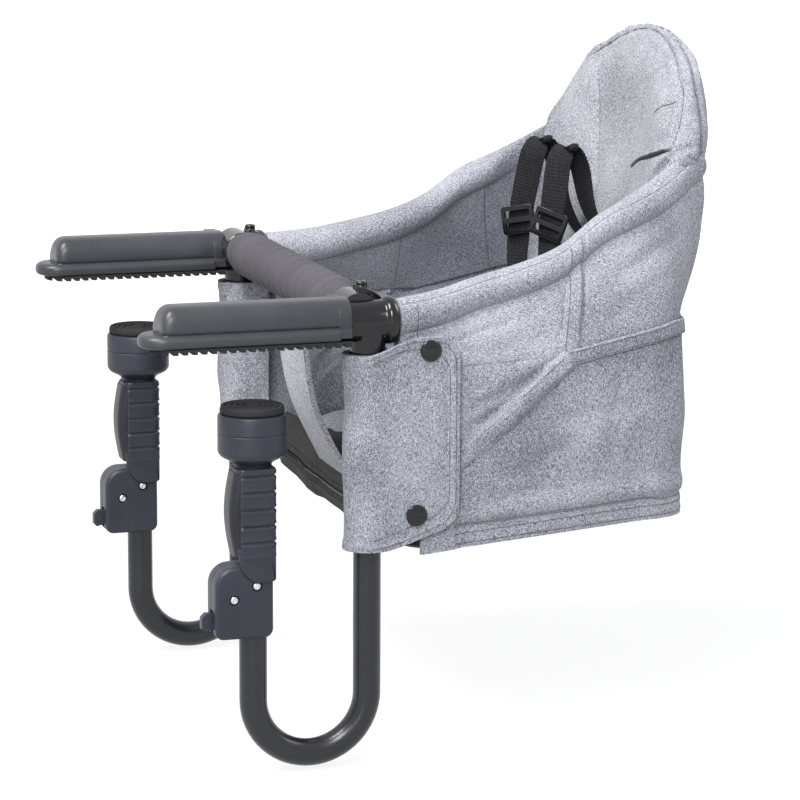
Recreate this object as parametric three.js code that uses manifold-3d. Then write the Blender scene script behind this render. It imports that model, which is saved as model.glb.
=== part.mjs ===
// A child's seat that hooks on a table edge: two padded arms lie on the table top, two J-shaped legs carry
// clamps that press up from below, and a fabric bucket with a folding back hangs from the frame.
// Millimetres, +Z up. The origin is on the table top, at the table's edge, midway between the arms.
// The sitter faces -Y, so +X is the sitter's left.

import * as THREE from 'three';
import { mergeVertices } from 'three/addons/utils/BufferGeometryUtils.js';
import Module from 'manifold-3d';

const wasm = await Module();
wasm.setup();

// Clearances
const FIT = 0.3; // between pieces that touch or turn in each other
const SLIDE_FIT = 0.5; // between pieces that slide in each other
const SOFT_FIT = 0.4; // between cloth and what it lies on

// Frame tubes
const TUBE_OD = 19;
const TUBE_WALL = 1.5;
const ARM_X = 165; // arm and leg plane, from the centre line
const ARM_Z = 14.5; // arm tube's axis above the table top
const ARM_FRONT_Y = -118; // arm tube's end inside its pad
const ARM_REAR_SHARE = 0.46; // how far along the wing's rim the arm tube reaches
const LEG_REAR_Y = 18; // swivel axis of the leg
const LEG_FRONT_Y = -63; // clamp axis
const LEG_BOTTOM_Z = -294; // underside of the leg's bend
const LEG_TOP_Z = 2.5;
const LEG_FRONT_TOP_Z = -95;
const CROSSBAR_Y = 12;
const CROSSBAR_Z = 20;
const FOAM_OD = 33;
const FOAM_END_OD = 26;
const FOAM_GAP = 1.5; // between the foam's end and the corner

// Arm pads
const PAD_REAR_Y = 2;
const PAD_LENGTH = 130;
const PAD_FLANGE_REACH = 13; // flange beyond the pad's round body
const PAD_HALF_WIDTH = 18.3;
const PAD_TOP_Z = 31.5;
const PAD_FLANGE_TOP_Z = 9.5;
const PAD_SLOT_HEIGHT = 7;
const PAD_SLOT_DEPTH = 1.6;
const SOLE_THICKNESS = 3.5;
const SOLE_RIB_PITCH = 6.6;
const SOLE_RIB_DEPTH = 2.2;

// Corner connectors
const BARREL_OD = 28;
const BARREL_REAR_Y = 29.4;
const COLLAR_OD = 33;
const COLLAR_WIDTH = 6.6;
const SOCKET_OD = 24;
const SOCKET_DEPTH = 30;
const BOSS_OD = 27;
const GUARD_RADIUS = 26.5;
const GUARD_Y = 14;
const GUARD_Z = 9;
const GUARD_WIDTH = 15.5;
const CONNECTOR_REACH = 30.5; // inner end from the arm plane
const BUTTON_D = 8;
const BUTTON_Y = 20;
const BUTTON_INSET = 9; // button's axis from the connector's inner end
const BUTTON_TOP_Z = 38.5;
const BUTTON_LENGTH = 6.6;
const BUTTON_TRAVEL = 3;

// Clamps
const TABLE_THICKNESS = 39; // the table that the clamps close on at rest
const CLAMP_UP = 20; // clamp travel towards thinner tables
const CLAMP_DOWN = 5; // clamp travel away from the table
const HOUSING_HALF_WIDTH = 12;
const HOUSING_FRONT_Y = -92;
const HOUSING_REAR_Y = -51.5;
const HOUSING_TOP_Z = -148;
const HOUSING_BOTTOM_Z = -198;
const HOUSING_WALL = 4;
const GRIP_TOP_Z = -80.5;
const GRIP_BOTTOM_Z = -142.5;
const GRIP_FRONT_Y = -80;
const GRIP_REAR_Y = -49;
const GRIP_INNER_X = -11.5; // from the arm plane
const GRIP_OUTER_X = 15.2;
const GRIP_RIBS = 6;
const GRIP_RIB_PITCH = 11.5;
const GRIP_GROOVE = 0.7;
const APRON_TIP_Z = -158.5; // tongue of the grip that runs down over the housing
const PLUNGER_D = TUBE_OD - 2 * TUBE_WALL - 2 * SLIDE_FIT;
const PLUNGER_BOTTOM_Z = -200;
const TOOTH_PITCH = 5;
const TOOTH_DEPTH = 1.8;
const TOOTH_COUNT = 9;
const STEM_D = 26;
const STEM_DEPTH = 9; // of the foot's stem inside the grip
const FOOT_D = 47;
const FOOT_FLARE_Z = -72;
const FOOT_PAD_THICKNESS = 5;
const SCREW_D = 3;
const SCREW_HEAD_D = 6;
const GUIDE_SCREW_Z = -161.8; // crosses the leg tube and the plunger's slot
const PIVOT_SCREW_Y = -78.8; // the release lever turns on this one
const PIVOT_SCREW_Z = -170.7;
const LEVER_WIDTH = 6;
const LEVER_TAB_Y = -99.5;
const LEVER_TAB_Z = -187;
const LEVER_TAB_HEIGHT = 12.5;
const SPRING_TURNS = 3;
const SPRING_WIRE = 0.8;

// Seat
const SKIRT_X = 177; // outside of the skirt, from the centre line
const SKIRT_FRONT_Y = 42;
const SKIRT_REAR_Y = 262;
const SKIRT_CORNER = 45;
const SKIRT_THICKNESS = 3.2;
const SKIRT_FOLD = 3;
const WAIST_FRONT_Z = -12;
const WAIST_REAR_Z = 4;
const WAIST_LAP = 1; // between the skirt's top edge and the wing
const WAIST_RISE_Y = 163; // where the waist seam starts to rise
const HEM_FRONT_Z = -148;
const HEM_REAR_Z = -134;
const PAN_TOP_Z = -126;
const PAN_THICKNESS = 5;
const PAN_FRONT_Y = 52;
const CUSHION_HEIGHT = 20;
const CUSHION_MARGIN = 12; // from the pan's edge
const POUCH_DEPTH = 25;
const POUCH_MARGIN = 30;
const CROTCH_WIDTH = 70;
const CROTCH_THICKNESS = 4;
const FLAP_REAR_Y = 75;
const FLAP_THICKNESS = 2.6;
const FLAP_BOTTOM_Z = -143;
const FLAP_TOP_Z = 0;
const SNAP_D = 15;
const SNAP_HEIGHT = 3;
const SNAPS = [{ name: 'upper', y: 57, z: -8 }, { name: 'lower', y: 48.5, z: -119 }];
const RIM_START_Y = 38;
const RIM_END_Y = 256;
const RIM_END_Z = 129;
const RIM_ROLL = 14; // radius of the rolled rim at the arm
const WING_WALL = 4.2;
const WING_FOLD = 2.5;
const WING_BULGE = 6; // of the wall beside the back

// Folding back
const HINGE_Y = 247;
const HINGE_Z = -4;
const PIN_D = 5;
const BACK_HALF_WIDTH = 124.8;
const BACK_BOTTOM_Z = 6;
const BACK_HEIGHT = 190;
const BACK_LEAN = 39; // how far the back's rear leans over the skirt's
const BACK_EDGE = 10; // thickness at the rim
const BACK_CROWN = 7; // each face's swell over the rim
const BACK_SIDE_SWELL = 10; // extra thickness behind the sides
const HOOP_D = 10;
const HOOP_INSET = 14.8; // hoop's axis from the pad's side
const EAR_THICKNESS = 4;
const EAR_WIDTH = 16;

// Harness
const WEB_WIDTH = 20;
const WEB_THICKNESS = 1.6;
const BUCKLE_Y = 196;
const BUCKLE_Z = -70;
const BUCKLE_HALF_WIDTH = 24;
const BUCKLE_HALF_HEIGHT = 17;
const BUCKLE_THICKNESS = 12;
const SLIDER_FRAME = 3;
const STRAP_TWIST = 46; // turn of the shoulder straps at their sliders, in degrees
const SLIDER_Y = 199;
const SLIDER_Z = 55;
const SLIDER_DROP = 5; // the right slider hangs lower than the left
const SLIDER_SPREAD = 6; // and further out
const STRAP_X = 30; // half the spacing of the shoulder straps at the back
const STRAP_FALL_Y = 197; // where they hang in front of the back
const LOOP_TOP_Z = 104; // top of the loop in which they leave the back
const LOOP_REACH = 24; // how far that loop stands off the back
const HIP_Z = -90; // where the waist straps leave the skirt

// Finishes
const FABRIC = { color: 0x9b9ea4, roughness: 0.95, metalness: 0 };
const LINING = { color: 0x2a2a2d, roughness: 0.9, metalness: 0 };
const SATIN_BLACK = { color: 0x22252b, roughness: 0.45, metalness: 0.2 };
const MOULDED = { color: 0x2c2f35, roughness: 0.55, metalness: 0 };
const GLOSSY = { color: 0x121214, roughness: 0.2, metalness: 0 };
const PAD_PLASTIC = { color: 0x37373b, roughness: 0.4, metalness: 0 };
const RUBBER = { color: 0x19191b, roughness: 0.85, metalness: 0 };
const FOAM = { color: 0x3b393e, roughness: 0.9, metalness: 0 };
const ZINC = { color: 0xc6c7c9, roughness: 0.3, metalness: 1 };
const WEBBING = { color: 0x1b1b1e, roughness: 0.8, metalness: 0 };

const SIDES = [{ name: 'left', sign: 1 }, { name: 'right', sign: -1 }];

const tubeR = TUBE_OD / 2;
const degrees = THREE.MathUtils.degToRad;
const vec = (x, y, z) => new THREE.Vector3(x, y, z);
const mirrored = (point, sign) => vec(point.x * sign, point.y, point.z);

// Geometry helpers

// Shared corners joined, empty triangles dropped and all faces turned outwards.
function closed(geometry) {
  const bare = new THREE.BufferGeometry();
  bare.setAttribute('position', geometry.getAttribute('position').clone());
  if (geometry.index) bare.setIndex(geometry.index.clone());
  const merged = mergeVertices(bare);
  const point = (i) => new THREE.Vector3().fromBufferAttribute(merged.getAttribute('position'), i);
  const faces = [];
  let volume = 0;
  for (let i = 0; i < merged.index.count; i += 3) {
    const [a, b, c] = [0, 1, 2].map((k) => merged.index.getX(i + k));
    if (a === b || b === c || c === a) continue;
    faces.push([a, b, c]);
    volume += point(a).dot(point(b).cross(point(c)));
  }
  merged.setIndex(faces.flatMap(([a, b, c]) => (volume < 0 ? [a, c, b] : [a, b, c])));
  return merged;
}

function solid(geometry) {
  const shut = closed(geometry);
  return new wasm.Manifold(new wasm.Mesh({
    numProp: 3,
    vertProperties: new Float32Array(shut.getAttribute('position').array),
    triVerts: new Uint32Array(shut.index.array),
  }));
}

function surface(body) {
  const mesh = body.getMesh();
  const geometry = new THREE.BufferGeometry();
  geometry.setAttribute('position', new THREE.BufferAttribute(new Float32Array(mesh.vertProperties), 3));
  geometry.setIndex([...mesh.triVerts]);
  return geometry;
}

const joined = (...parts) => surface(parts.map(solid).reduce((sum, next) => sum.add(next)));
const cut = (body, ...tools) => surface(tools.map(solid).reduce((rest, tool) => rest.subtract(tool), solid(body)));
const common = (body, tool) => surface(solid(body).intersect(solid(tool)));

const X_AXIS = vec(1, 0, 0);
const Y_AXIS = vec(0, 1, 0);
const Z_AXIS = vec(0, 0, 1);
const FROM_YZ = new THREE.Matrix4().makeBasis(Y_AXIS, Z_AXIS, X_AXIS);
const FROM_ZX = new THREE.Matrix4().makeBasis(Z_AXIS, X_AXIS, Y_AXIS);

const polygon = (points) => new THREE.Shape(points.map(([a, b]) => new THREE.Vector2(a, b)));

function roundedRect(a0, a1, b0, b1, radius) {
  const shape = new THREE.Shape();
  shape.absarc(a1 - radius, b0 + radius, radius, -Math.PI / 2, 0);
  shape.absarc(a1 - radius, b1 - radius, radius, 0, Math.PI / 2);
  shape.absarc(a0 + radius, b1 - radius, radius, Math.PI / 2, Math.PI);
  shape.absarc(a0 + radius, b0 + radius, radius, Math.PI, 1.5 * Math.PI);
  return shape;
}

function extruded(shape, from, to, { bevel = 0, segments = 4, basis = null } = {}) {
  const geometry = new THREE.ExtrudeGeometry(shape, {
    depth: to - from - 2 * bevel,
    bevelEnabled: bevel > 0,
    bevelSize: bevel,
    bevelThickness: bevel,
    bevelOffset: -bevel,
    bevelSegments: 1,
    curveSegments: segments,
  });
  geometry.translate(0, 0, from + bevel);
  return basis ? geometry.applyMatrix4(basis) : geometry;
}

const alongX = (shape, from, to, options = {}) => extruded(shape, from, to, { ...options, basis: FROM_YZ });
const alongY = (shape, from, to, options = {}) => extruded(shape, from, to, { ...options, basis: FROM_ZX });
const alongZ = (shape, from, to, options = {}) => extruded(shape, from, to, options);

function box(x0, x1, y0, y1, z0, z1) {
  return new THREE.BoxGeometry(x1 - x0, y1 - y0, z1 - z0).translate((x0 + x1) / 2, (y0 + y1) / 2, (z0 + z1) / 2);
}

// Profile of [radius, height] turned about a line through (a, b) along the named axis.
function turned(profile, axis, a, b, sides = 16) {
  const points = profile.map(([r, h]) => new THREE.Vector2(r, h));
  const geometry = new THREE.LatheGeometry(points, sides);
  if (axis === 'z') return geometry.rotateX(Math.PI / 2).translate(a, b, 0);
  if (axis === 'y') return geometry.translate(a, 0, b);
  return geometry.rotateZ(-Math.PI / 2).translate(0, a, b);
}

const rod = (axis, radius, from, to, a, b, sides = 16) =>
  turned([[0, from], [radius, from], [radius, to], [0, to]], axis, a, b, sides);

const pipe = (axis, outer, inner, from, to, a, b, sides = 16) =>
  turned([[inner, from], [outer, from], [outer, to], [inner, to], [inner, from]], axis, a, b, sides);

// A path whose steps fall on its own stations, so a straight run takes one step.
class StationPath extends THREE.Curve {
  constructor(stations) {
    super();
    this.stations = stations;
  }

  getPoint(t) {
    const last = this.stations.length - 1;
    const index = Math.min(Math.round(t * last), last);
    return this.stations[index].clone();
  }

  getPointAt(u) {
    return this.getPoint(u);
  }

  getTangentAt(u) {
    const last = this.stations.length - 1;
    const index = Math.round(u * last);
    const before = this.stations[Math.max(index - 1, 0)];
    const after = this.stations[Math.min(index + 1, last)];
    const here = this.stations[index];
    const into = here.clone().sub(before).normalize();
    const out = after.clone().sub(here).normalize();
    return into.add(out).normalize();
  }
}

function sweptTube(stations, outer, inner, sides) {
  const shape = new THREE.Shape().absarc(0, 0, outer, 0, 2 * Math.PI);
  if (inner > 0) shape.holes.push(new THREE.Path().absarc(0, 0, inner, 0, 2 * Math.PI));
  return new THREE.ExtrudeGeometry(shape, {
    steps: stations.length - 1,
    curveSegments: sides / 2,
    extrudePath: new StationPath(stations),
  });
}

// Rings of equal count joined in order, with a flat cap on the first and the last.
function loft(rings) {
  const count = rings[0].length;
  const positions = rings.flat().flatMap((p) => [p.x, p.y, p.z]);
  const index = [];
  for (let i = 0; i + 1 < rings.length; i += 1) {
    for (let j = 0; j < count; j += 1) {
      const k = (j + 1) % count;
      const [a, b, c, d] = [i * count + j, i * count + k, (i + 1) * count + k, (i + 1) * count + j];
      index.push(a, b, c, a, c, d);
    }
  }
  const cap = (ring, offset, forward) => {
    const flat = flattened(ring);
    const along = THREE.ShapeUtils.area(flat) > 0;
    for (const [a, b, c] of THREE.ShapeUtils.triangulateShape(flat, [])) {
      const sameWay = THREE.ShapeUtils.area([flat[a], flat[b], flat[c]]) > 0 === along;
      const face = sameWay === forward ? [a, b, c] : [a, c, b];
      index.push(...face.map((i) => i + offset));
    }
  };
  cap(rings[0], 0, false);
  cap(rings.at(-1), (rings.length - 1) * count, true);
  const geometry = new THREE.BufferGeometry();
  geometry.setAttribute('position', new THREE.Float32BufferAttribute(positions, 3));
  geometry.setIndex(index);
  return geometry;
}

// A ring seen along the axis that its own plane faces most.
function flattened(ring) {
  const normal = vec(0, 0, 0);
  ring.forEach((p, i) => normal.add(p.clone().cross(ring[(i + 1) % ring.length])));
  const [x, y, z] = [normal.x, normal.y, normal.z].map(Math.abs);
  if (z >= x && z >= y) return ring.map((p) => new THREE.Vector2(p.x, p.y));
  if (y >= x) return ring.map((p) => new THREE.Vector2(p.x, p.z));
  return ring.map((p) => new THREE.Vector2(p.y, p.z));
}

// A flat strap along stations, each with the direction of its width.
function strap(stations, width, thickness) {
  const rings = stations.map(({ at, across }, i) => {
    const before = stations[Math.max(i - 1, 0)].at;
    const after = stations[Math.min(i + 1, stations.length - 1)].at;
    const travel = after.clone().sub(before).normalize();
    const half = across.clone().addScaledVector(travel, -across.dot(travel)).normalize();
    const face = travel.clone().cross(half);
    const corner = (w, t) => at.clone().addScaledVector(half, w * width / 2).addScaledVector(face, t * thickness / 2);
    return [corner(-1, -1), corner(1, -1), corner(1, 1), corner(-1, 1)];
  });
  return loft(rings);
}

const curveThrough = (points) => new THREE.CatmullRomCurve3(points, false, 'centripetal');

const root = new THREE.Group();

function add(name, geometry, finish, group = root) {
  const shut = closed(geometry);
  shut.computeVertexNormals();
  const mesh = new THREE.Mesh(shut, new THREE.MeshStandardMaterial(finish));
  mesh.name = name;
  group.add(mesh);
  return mesh;
}

// Seat outline in plan, as the outside of the skirt: from the front end along the side and round to the rear centre

const sideRun = SKIRT_REAR_Y - SKIRT_CORNER - SKIRT_FRONT_Y;
const cornerRun = SKIRT_CORNER * Math.PI / 2;
const rearRun = SKIRT_X - SKIRT_CORNER;
const halfRun = sideRun + cornerRun + rearRun;

// Point and outward direction at a distance along the left half of the outline.
function outlineAt(distance) {
  if (distance <= sideRun) return { at: vec(SKIRT_X, SKIRT_FRONT_Y + distance, 0), out: vec(1, 0, 0) };
  const turn = Math.min((distance - sideRun) / SKIRT_CORNER, Math.PI / 2);
  const out = vec(Math.cos(turn), Math.sin(turn), 0);
  const at = vec(SKIRT_X - SKIRT_CORNER, SKIRT_REAR_Y - SKIRT_CORNER, 0).addScaledVector(out, SKIRT_CORNER);
  at.x -= Math.max(distance - sideRun - cornerRun, 0);
  return { at, out };
}

const WING_END_X = BACK_HALF_WIDTH + SOFT_FIT;

// Height of the waist seam, where the skirt ends and the wings begin.
const waistAt = (y) => {
  const share = THREE.MathUtils.clamp((y - WAIST_RISE_Y) / (SKIRT_REAR_Y - SKIRT_CORNER / 2 - WAIST_RISE_Y), 0, 1);
  return THREE.MathUtils.lerp(WAIST_FRONT_Z, WAIST_REAR_Z, share);
};

// Rim of the left wing, from the sleeve's mouth on the arm to the back's edge, with the roll's radius.
// Each station is a share of the way inwards, back and up, and of the roll at the arm.
const RIM = [
  [0, 0, 0, 1], [0.201, 0.151, 0.035, 0.964], [0.402, 0.284, 0.0995, 0.929], [0.465, 0.44, 0.184, 0.9],
  [0.427, 0.573, 0.303, 0.886], [0.477, 0.697, 0.463, 0.857], [0.628, 0.807, 0.632, 0.857],
  [0.691, 0.9266, 0.841, 0.857], [1, 1, 1, 0.857],
].map(([inwards, back, up, size]) => ({
  at: vec(
    THREE.MathUtils.lerp(ARM_X, WING_END_X, inwards),
    THREE.MathUtils.lerp(RIM_START_Y, RIM_END_Y, back),
    THREE.MathUtils.lerp(ARM_Z + RIM_ROLL, RIM_END_Z, up),
  ),
  roll: RIM_ROLL * size,
}));
const rollCentres = RIM.map(({ at, roll }) => at.clone().sub(vec(0, 0, roll)));
const connectorRear = BARREL_REAR_Y + COLLAR_WIDTH;
const rollCurve = curveThrough([vec(ARM_X, connectorRear, ARM_Z), ...rollCentres]);

const rollRadiusAt = (share) => {
  const place = Math.min(Math.max(share * (RIM.length - 1), 0), RIM.length - 1.001);
  const i = Math.floor(place);
  return THREE.MathUtils.lerp(RIM[i].roll, RIM[i + 1].roll, place - i);
};

// The curve's first span is the straight stretch in front of the sleeve.
const rollShare = (share) => (1 + share * (RIM.length - 1)) / RIM.length;
const rollAt = (share) => rollCurve.getPoint(rollShare(share));

// Tubes of the frame

const ARM_STEPS = 7;
const armStations = [vec(ARM_X, ARM_FRONT_Y, ARM_Z)];
for (let i = 0; i <= ARM_STEPS; i += 1) {
  armStations.push(rollCurve.getPoint(rollShare(ARM_REAR_SHARE) * i / ARM_STEPS));
}

const bendRadius = (LEG_REAR_Y - LEG_FRONT_Y) / 2;
const bendZ = LEG_BOTTOM_Z + tubeR + bendRadius;
const BEND_STEPS = 8;
const legStations = [vec(0, LEG_REAR_Y, LEG_TOP_Z)];
for (let i = 0; i <= BEND_STEPS; i += 1) {
  const turn = Math.PI * i / BEND_STEPS;
  const reach = LEG_FRONT_Y + bendRadius + bendRadius * Math.cos(turn);
  legStations.push(vec(0, reach, bendZ - bendRadius * Math.sin(turn)));
}
legStations.push(vec(0, LEG_FRONT_Y, LEG_FRONT_TOP_Z));

function armTube({ name, sign }) {
  const stations = armStations.map((p) => mirrored(p, sign));
  add(`arm_tube_${name}`, sweptTube(stations, tubeR, tubeR - TUBE_WALL, 12), SATIN_BLACK);
}

function crossbar() {
  const end = ARM_X - tubeR - FIT - TUBE_WALL;
  add('crossbar_tube', pipe('x', tubeR, tubeR - TUBE_WALL, -end, end, CROSSBAR_Y, CROSSBAR_Z, 16), SATIN_BLACK);
  const bore = tubeR + FIT;
  const foamEnd = ARM_X - CONNECTOR_REACH - FOAM_GAP;
  const crown = foamEnd * 0.82;
  const profile = [
    [bore, -foamEnd], [FOAM_END_OD / 2, -foamEnd], [FOAM_OD / 2 - 0.8, -crown],
    [FOAM_OD / 2, -crown / 2], [FOAM_OD / 2, crown / 2], [FOAM_OD / 2 - 0.8, crown],
    [FOAM_END_OD / 2, foamEnd], [bore, foamEnd], [bore, -foamEnd],
  ];
  add('foam_sleeve', turned(profile, 'x', CROSSBAR_Y, CROSSBAR_Z, 20), FOAM);
}

// Arm pads and their ribbed soles

function armPad({ name, sign }) {
  const x = ARM_X * sign;
  const bottom = SOLE_THICKNESS + FIT;
  const front = PAD_REAR_Y - PAD_LENGTH;
  const shoulder = PAD_TOP_Z - PAD_HALF_WIDTH + 2;
  const half = PAD_HALF_WIDTH - 1.2;
  const section = new THREE.Shape();
  section.moveTo(bottom, x - half);
  section.lineTo(shoulder, x - half);
  section.absellipse(shoulder, x, PAD_TOP_Z - shoulder, half, -Math.PI / 2, Math.PI / 2);
  section.lineTo(bottom, x + half);
  const body = alongY(section, front, PAD_REAR_Y, { bevel: 1.5, segments: 5 });
  const tip = front - PAD_FLANGE_REACH;
  const plate = roundedRect(x - PAD_HALF_WIDTH, x + PAD_HALF_WIDTH, tip, PAD_REAR_Y, 6);
  const flange = alongZ(plate, bottom, PAD_FLANGE_TOP_Z, { bevel: 1, segments: 2 });
  const bore = rod('y', tubeR + FIT, ARM_FRONT_Y - FIT, PAD_REAR_Y + 1, x, ARM_Z);
  const slotMiddle = (PAD_FLANGE_TOP_Z + shoulder) / 2;
  const slotOutline = roundedRect(front + 8, PAD_REAR_Y - 7, slotMiddle - PAD_SLOT_HEIGHT / 2,
    slotMiddle + PAD_SLOT_HEIGHT / 2, PAD_SLOT_HEIGHT / 2 - 0.1);
  const slots = [-1, 1].map((face) => {
    const outside = x + face * (half + 1);
    const inside = x + face * (half - PAD_SLOT_DEPTH);
    return alongX(slotOutline, Math.min(outside, inside), Math.max(outside, inside), { segments: 2 });
  });
  add(`arm_pad_${name}`, cut(joined(body, flange), bore, ...slots), PAD_PLASTIC);

  const ribs = Math.floor((PAD_REAR_Y - tip) / SOLE_RIB_PITCH);
  const comb = [[tip, SOLE_THICKNESS], [tip, 0]];
  for (let i = 0; i < ribs; i += 1) {
    const y = tip + (i + 0.5) * SOLE_RIB_PITCH;
    const groove = SOLE_RIB_PITCH / 2;
    comb.push([y, 0], [y, SOLE_RIB_DEPTH], [y + groove, SOLE_RIB_DEPTH], [y + groove, 0]);
  }
  comb.push([PAD_REAR_Y, 0], [PAD_REAR_Y, SOLE_THICKNESS]);
  const sole = alongX(polygon(comb), x - PAD_HALF_WIDTH, x + PAD_HALF_WIDTH);
  add(`pad_sole_${name}`, sole, RUBBER);
}

// Corner connectors: arm through the barrel, leg up into the socket, crossbar in the boss

function connector({ name, sign }) {
  const inner = ARM_X - CONNECTOR_REACH;
  const barrel = rod('y', BARREL_OD / 2, PAD_REAR_Y - 2, BARREL_REAR_Y + 3, ARM_X, ARM_Z);
  const collar = turned([[0, BARREL_REAR_Y], [COLLAR_OD / 2 - 1.5, BARREL_REAR_Y],
    [COLLAR_OD / 2, BARREL_REAR_Y + 2], [COLLAR_OD / 2, connectorRear - 1],
    [COLLAR_OD / 2 - 1, connectorRear], [0, connectorRear]], 'y', ARM_X, ARM_Z);
  const socket = rod('z', SOCKET_OD / 2, LEG_TOP_Z - SOCKET_DEPTH, ARM_Z, ARM_X, LEG_REAR_Y);
  const boss = rod('x', BOSS_OD / 2, inner, ARM_X, CROSSBAR_Y, CROSSBAR_Z);
  const wedge = new THREE.Shape();
  wedge.moveTo(GUARD_Y, GUARD_Z);
  wedge.absarc(GUARD_Y, GUARD_Z, GUARD_RADIUS, degrees(-12), degrees(84));
  const guard = alongX(wedge, inner, inner + GUARD_WIDTH, { segments: 5 });
  const armBore = rod('y', tubeR + FIT, -BOSS_OD, connectorRear + 10, ARM_X, ARM_Z);
  const padEnd = box(ARM_X - PAD_HALF_WIDTH - FIT, ARM_X + BARREL_OD, -BOSS_OD, PAD_REAR_Y + FIT, -BOSS_OD, 2 * BOSS_OD);
  const legBore = rod('z', tubeR + FIT, LEG_TOP_Z - SOCKET_DEPTH - 1, LEG_TOP_Z + FIT, ARM_X, LEG_REAR_Y);
  const barEnd = ARM_X - tubeR - TUBE_WALL;
  const barBore = rod('x', tubeR + FIT, inner - 1, barEnd, CROSSBAR_Y, CROSSBAR_Z);
  const buttonX = inner + BUTTON_INSET;
  const buttonFloor = BUTTON_TOP_Z - BUTTON_LENGTH - BUTTON_TRAVEL - FIT;
  const buttonHole = rod('z', BUTTON_D / 2 + FIT, buttonFloor, BUTTON_TOP_Z, buttonX, BUTTON_Y, 14);
  const body = joined(barrel, collar, socket, boss, guard);
  const finished = cut(body, padEnd, armBore, legBore, barBore, buttonHole);
  const cap = turned([[0, BUTTON_TOP_Z - BUTTON_LENGTH], [BUTTON_D / 2, BUTTON_TOP_Z - BUTTON_LENGTH],
    [BUTTON_D / 2, BUTTON_TOP_Z - 1], [BUTTON_D / 2 - 1, BUTTON_TOP_Z], [0, BUTTON_TOP_Z]],
  'z', buttonX, BUTTON_Y, 14);
  const flip = new THREE.Matrix4().makeScale(sign, 1, 1);
  add(`corner_connector_${name}`, finished.applyMatrix4(flip), GLOSSY);
  add(`lock_button_${name}`, cap.applyMatrix4(flip), GLOSSY);
}

// Legs and clamps. Both sides carry the same clamp, not a mirrored one, so these are built in the arm plane.

function legTube({ name }, group) {
  const tube = sweptTube(legStations, tubeR, tubeR - TUBE_WALL, 12);
  const window = box(-LEVER_WIDTH / 2 - 1, LEVER_WIDTH / 2 + 1, LEG_FRONT_Y - tubeR - 1, LEG_FRONT_Y - tubeR / 2,
    PIVOT_SCREW_Z - 3, PIVOT_SCREW_Z + 12);
  const cross = rod('x', SCREW_D / 2 + FIT, -tubeR - 1, tubeR + 1, LEG_FRONT_Y, GUIDE_SCREW_Z, 10);
  add(`leg_tube_${name}`, cut(tube, window, cross), SATIN_BLACK, group);
}

function housingOutline() {
  const shape = new THREE.Shape();
  const [soft, wide] = [5, 13];
  shape.absarc(HOUSING_REAR_Y - soft, HOUSING_BOTTOM_Z + soft, soft, -Math.PI / 2, 0);
  shape.absarc(HOUSING_REAR_Y - 2, HOUSING_TOP_Z - 2, 2, 0, Math.PI / 2);
  shape.absarc(HOUSING_FRONT_Y + wide, HOUSING_TOP_Z - wide, wide, Math.PI / 2, Math.PI);
  shape.absarc(HOUSING_FRONT_Y + soft, HOUSING_BOTTOM_Z + soft, soft, Math.PI, 1.5 * Math.PI);
  return shape;
}

const screwSeat = tubeR + 2 * FIT;

function housing({ name }, group) {
  const bore = rod('z', tubeR + FIT, HOUSING_BOTTOM_Z - 1, HOUSING_TOP_Z + 1, 0, LEG_FRONT_Y);
  const cavityTop = PIVOT_SCREW_Z + 14;
  const half = HOUSING_HALF_WIDTH - HOUSING_WALL;
  const room = polygon([[HOUSING_FRONT_Y + HOUSING_WALL, HOUSING_BOTTOM_Z + 2.5],
    [LEG_FRONT_Y - tubeR + 2, PIVOT_SCREW_Z - 8], [LEG_FRONT_Y - tubeR + 2, cavityTop],
    [HOUSING_FRONT_Y + HOUSING_WALL + 6, cavityTop], [HOUSING_FRONT_Y + HOUSING_WALL, cavityTop - 8]]);
  const cavity = alongX(room, -half, half);
  const tabHigh = LEVER_TAB_Z + LEVER_TAB_HEIGHT / 2 + 2;
  const window = box(-LEVER_WIDTH / 2 - 1, LEVER_WIDTH / 2 + 1, HOUSING_FRONT_Y - 1, HOUSING_FRONT_Y + HOUSING_WALL + 1,
    HOUSING_BOTTOM_Z + 2.5, tabHigh);
  const screwHole = (y, z) => [
    rod('x', SCREW_D / 2 + FIT, -HOUSING_HALF_WIDTH + 1.5, HOUSING_HALF_WIDTH + 1, y, z, 10),
    rod('x', SCREW_HEAD_D / 2 + FIT, screwSeat - 2 * FIT, HOUSING_HALF_WIDTH + 1, y, z, 14),
  ];
  const holes = [...screwHole(LEG_FRONT_Y, GUIDE_SCREW_Z), ...screwHole(PIVOT_SCREW_Y, PIVOT_SCREW_Z)];
  const halves = { outer: [FIT / 2, HOUSING_HALF_WIDTH], inner: [-HOUSING_HALF_WIDTH, -FIT / 2] };
  const block = alongX(housingOutline(), -HOUSING_HALF_WIDTH, HOUSING_HALF_WIDTH, { bevel: 1.2, segments: 4 });
  const hollow = cut(block, bore, cavity, window, ...holes);
  for (const [half, [x0, x1]] of Object.entries(halves)) {
    const slab = box(x0, x1, HOUSING_FRONT_Y - 5, HOUSING_REAR_Y + 5, HOUSING_BOTTOM_Z - 5, HOUSING_TOP_Z + 5);
    add(`clamp_housing_${half}_${name}`, common(hollow, slab), MOULDED, group);
  }
}

function housingScrews({ name }, group) {
  const profile = [[0, -HOUSING_HALF_WIDTH + 2], [SCREW_D / 2, -HOUSING_HALF_WIDTH + 2], [SCREW_D / 2, screwSeat],
    [SCREW_HEAD_D / 2, screwSeat], [SCREW_HEAD_D / 2, screwSeat + 0.8],
    [SCREW_HEAD_D / 4, screwSeat + 1.4], [0, screwSeat + 1.6]];
  add(`guide_screw_${name}`, turned(profile, 'x', LEG_FRONT_Y, GUIDE_SCREW_Z, 12), ZINC, group);
  add(`pivot_screw_${name}`, turned(profile, 'x', PIVOT_SCREW_Y, PIVOT_SCREW_Z, 12), ZINC, group);
}

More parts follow.
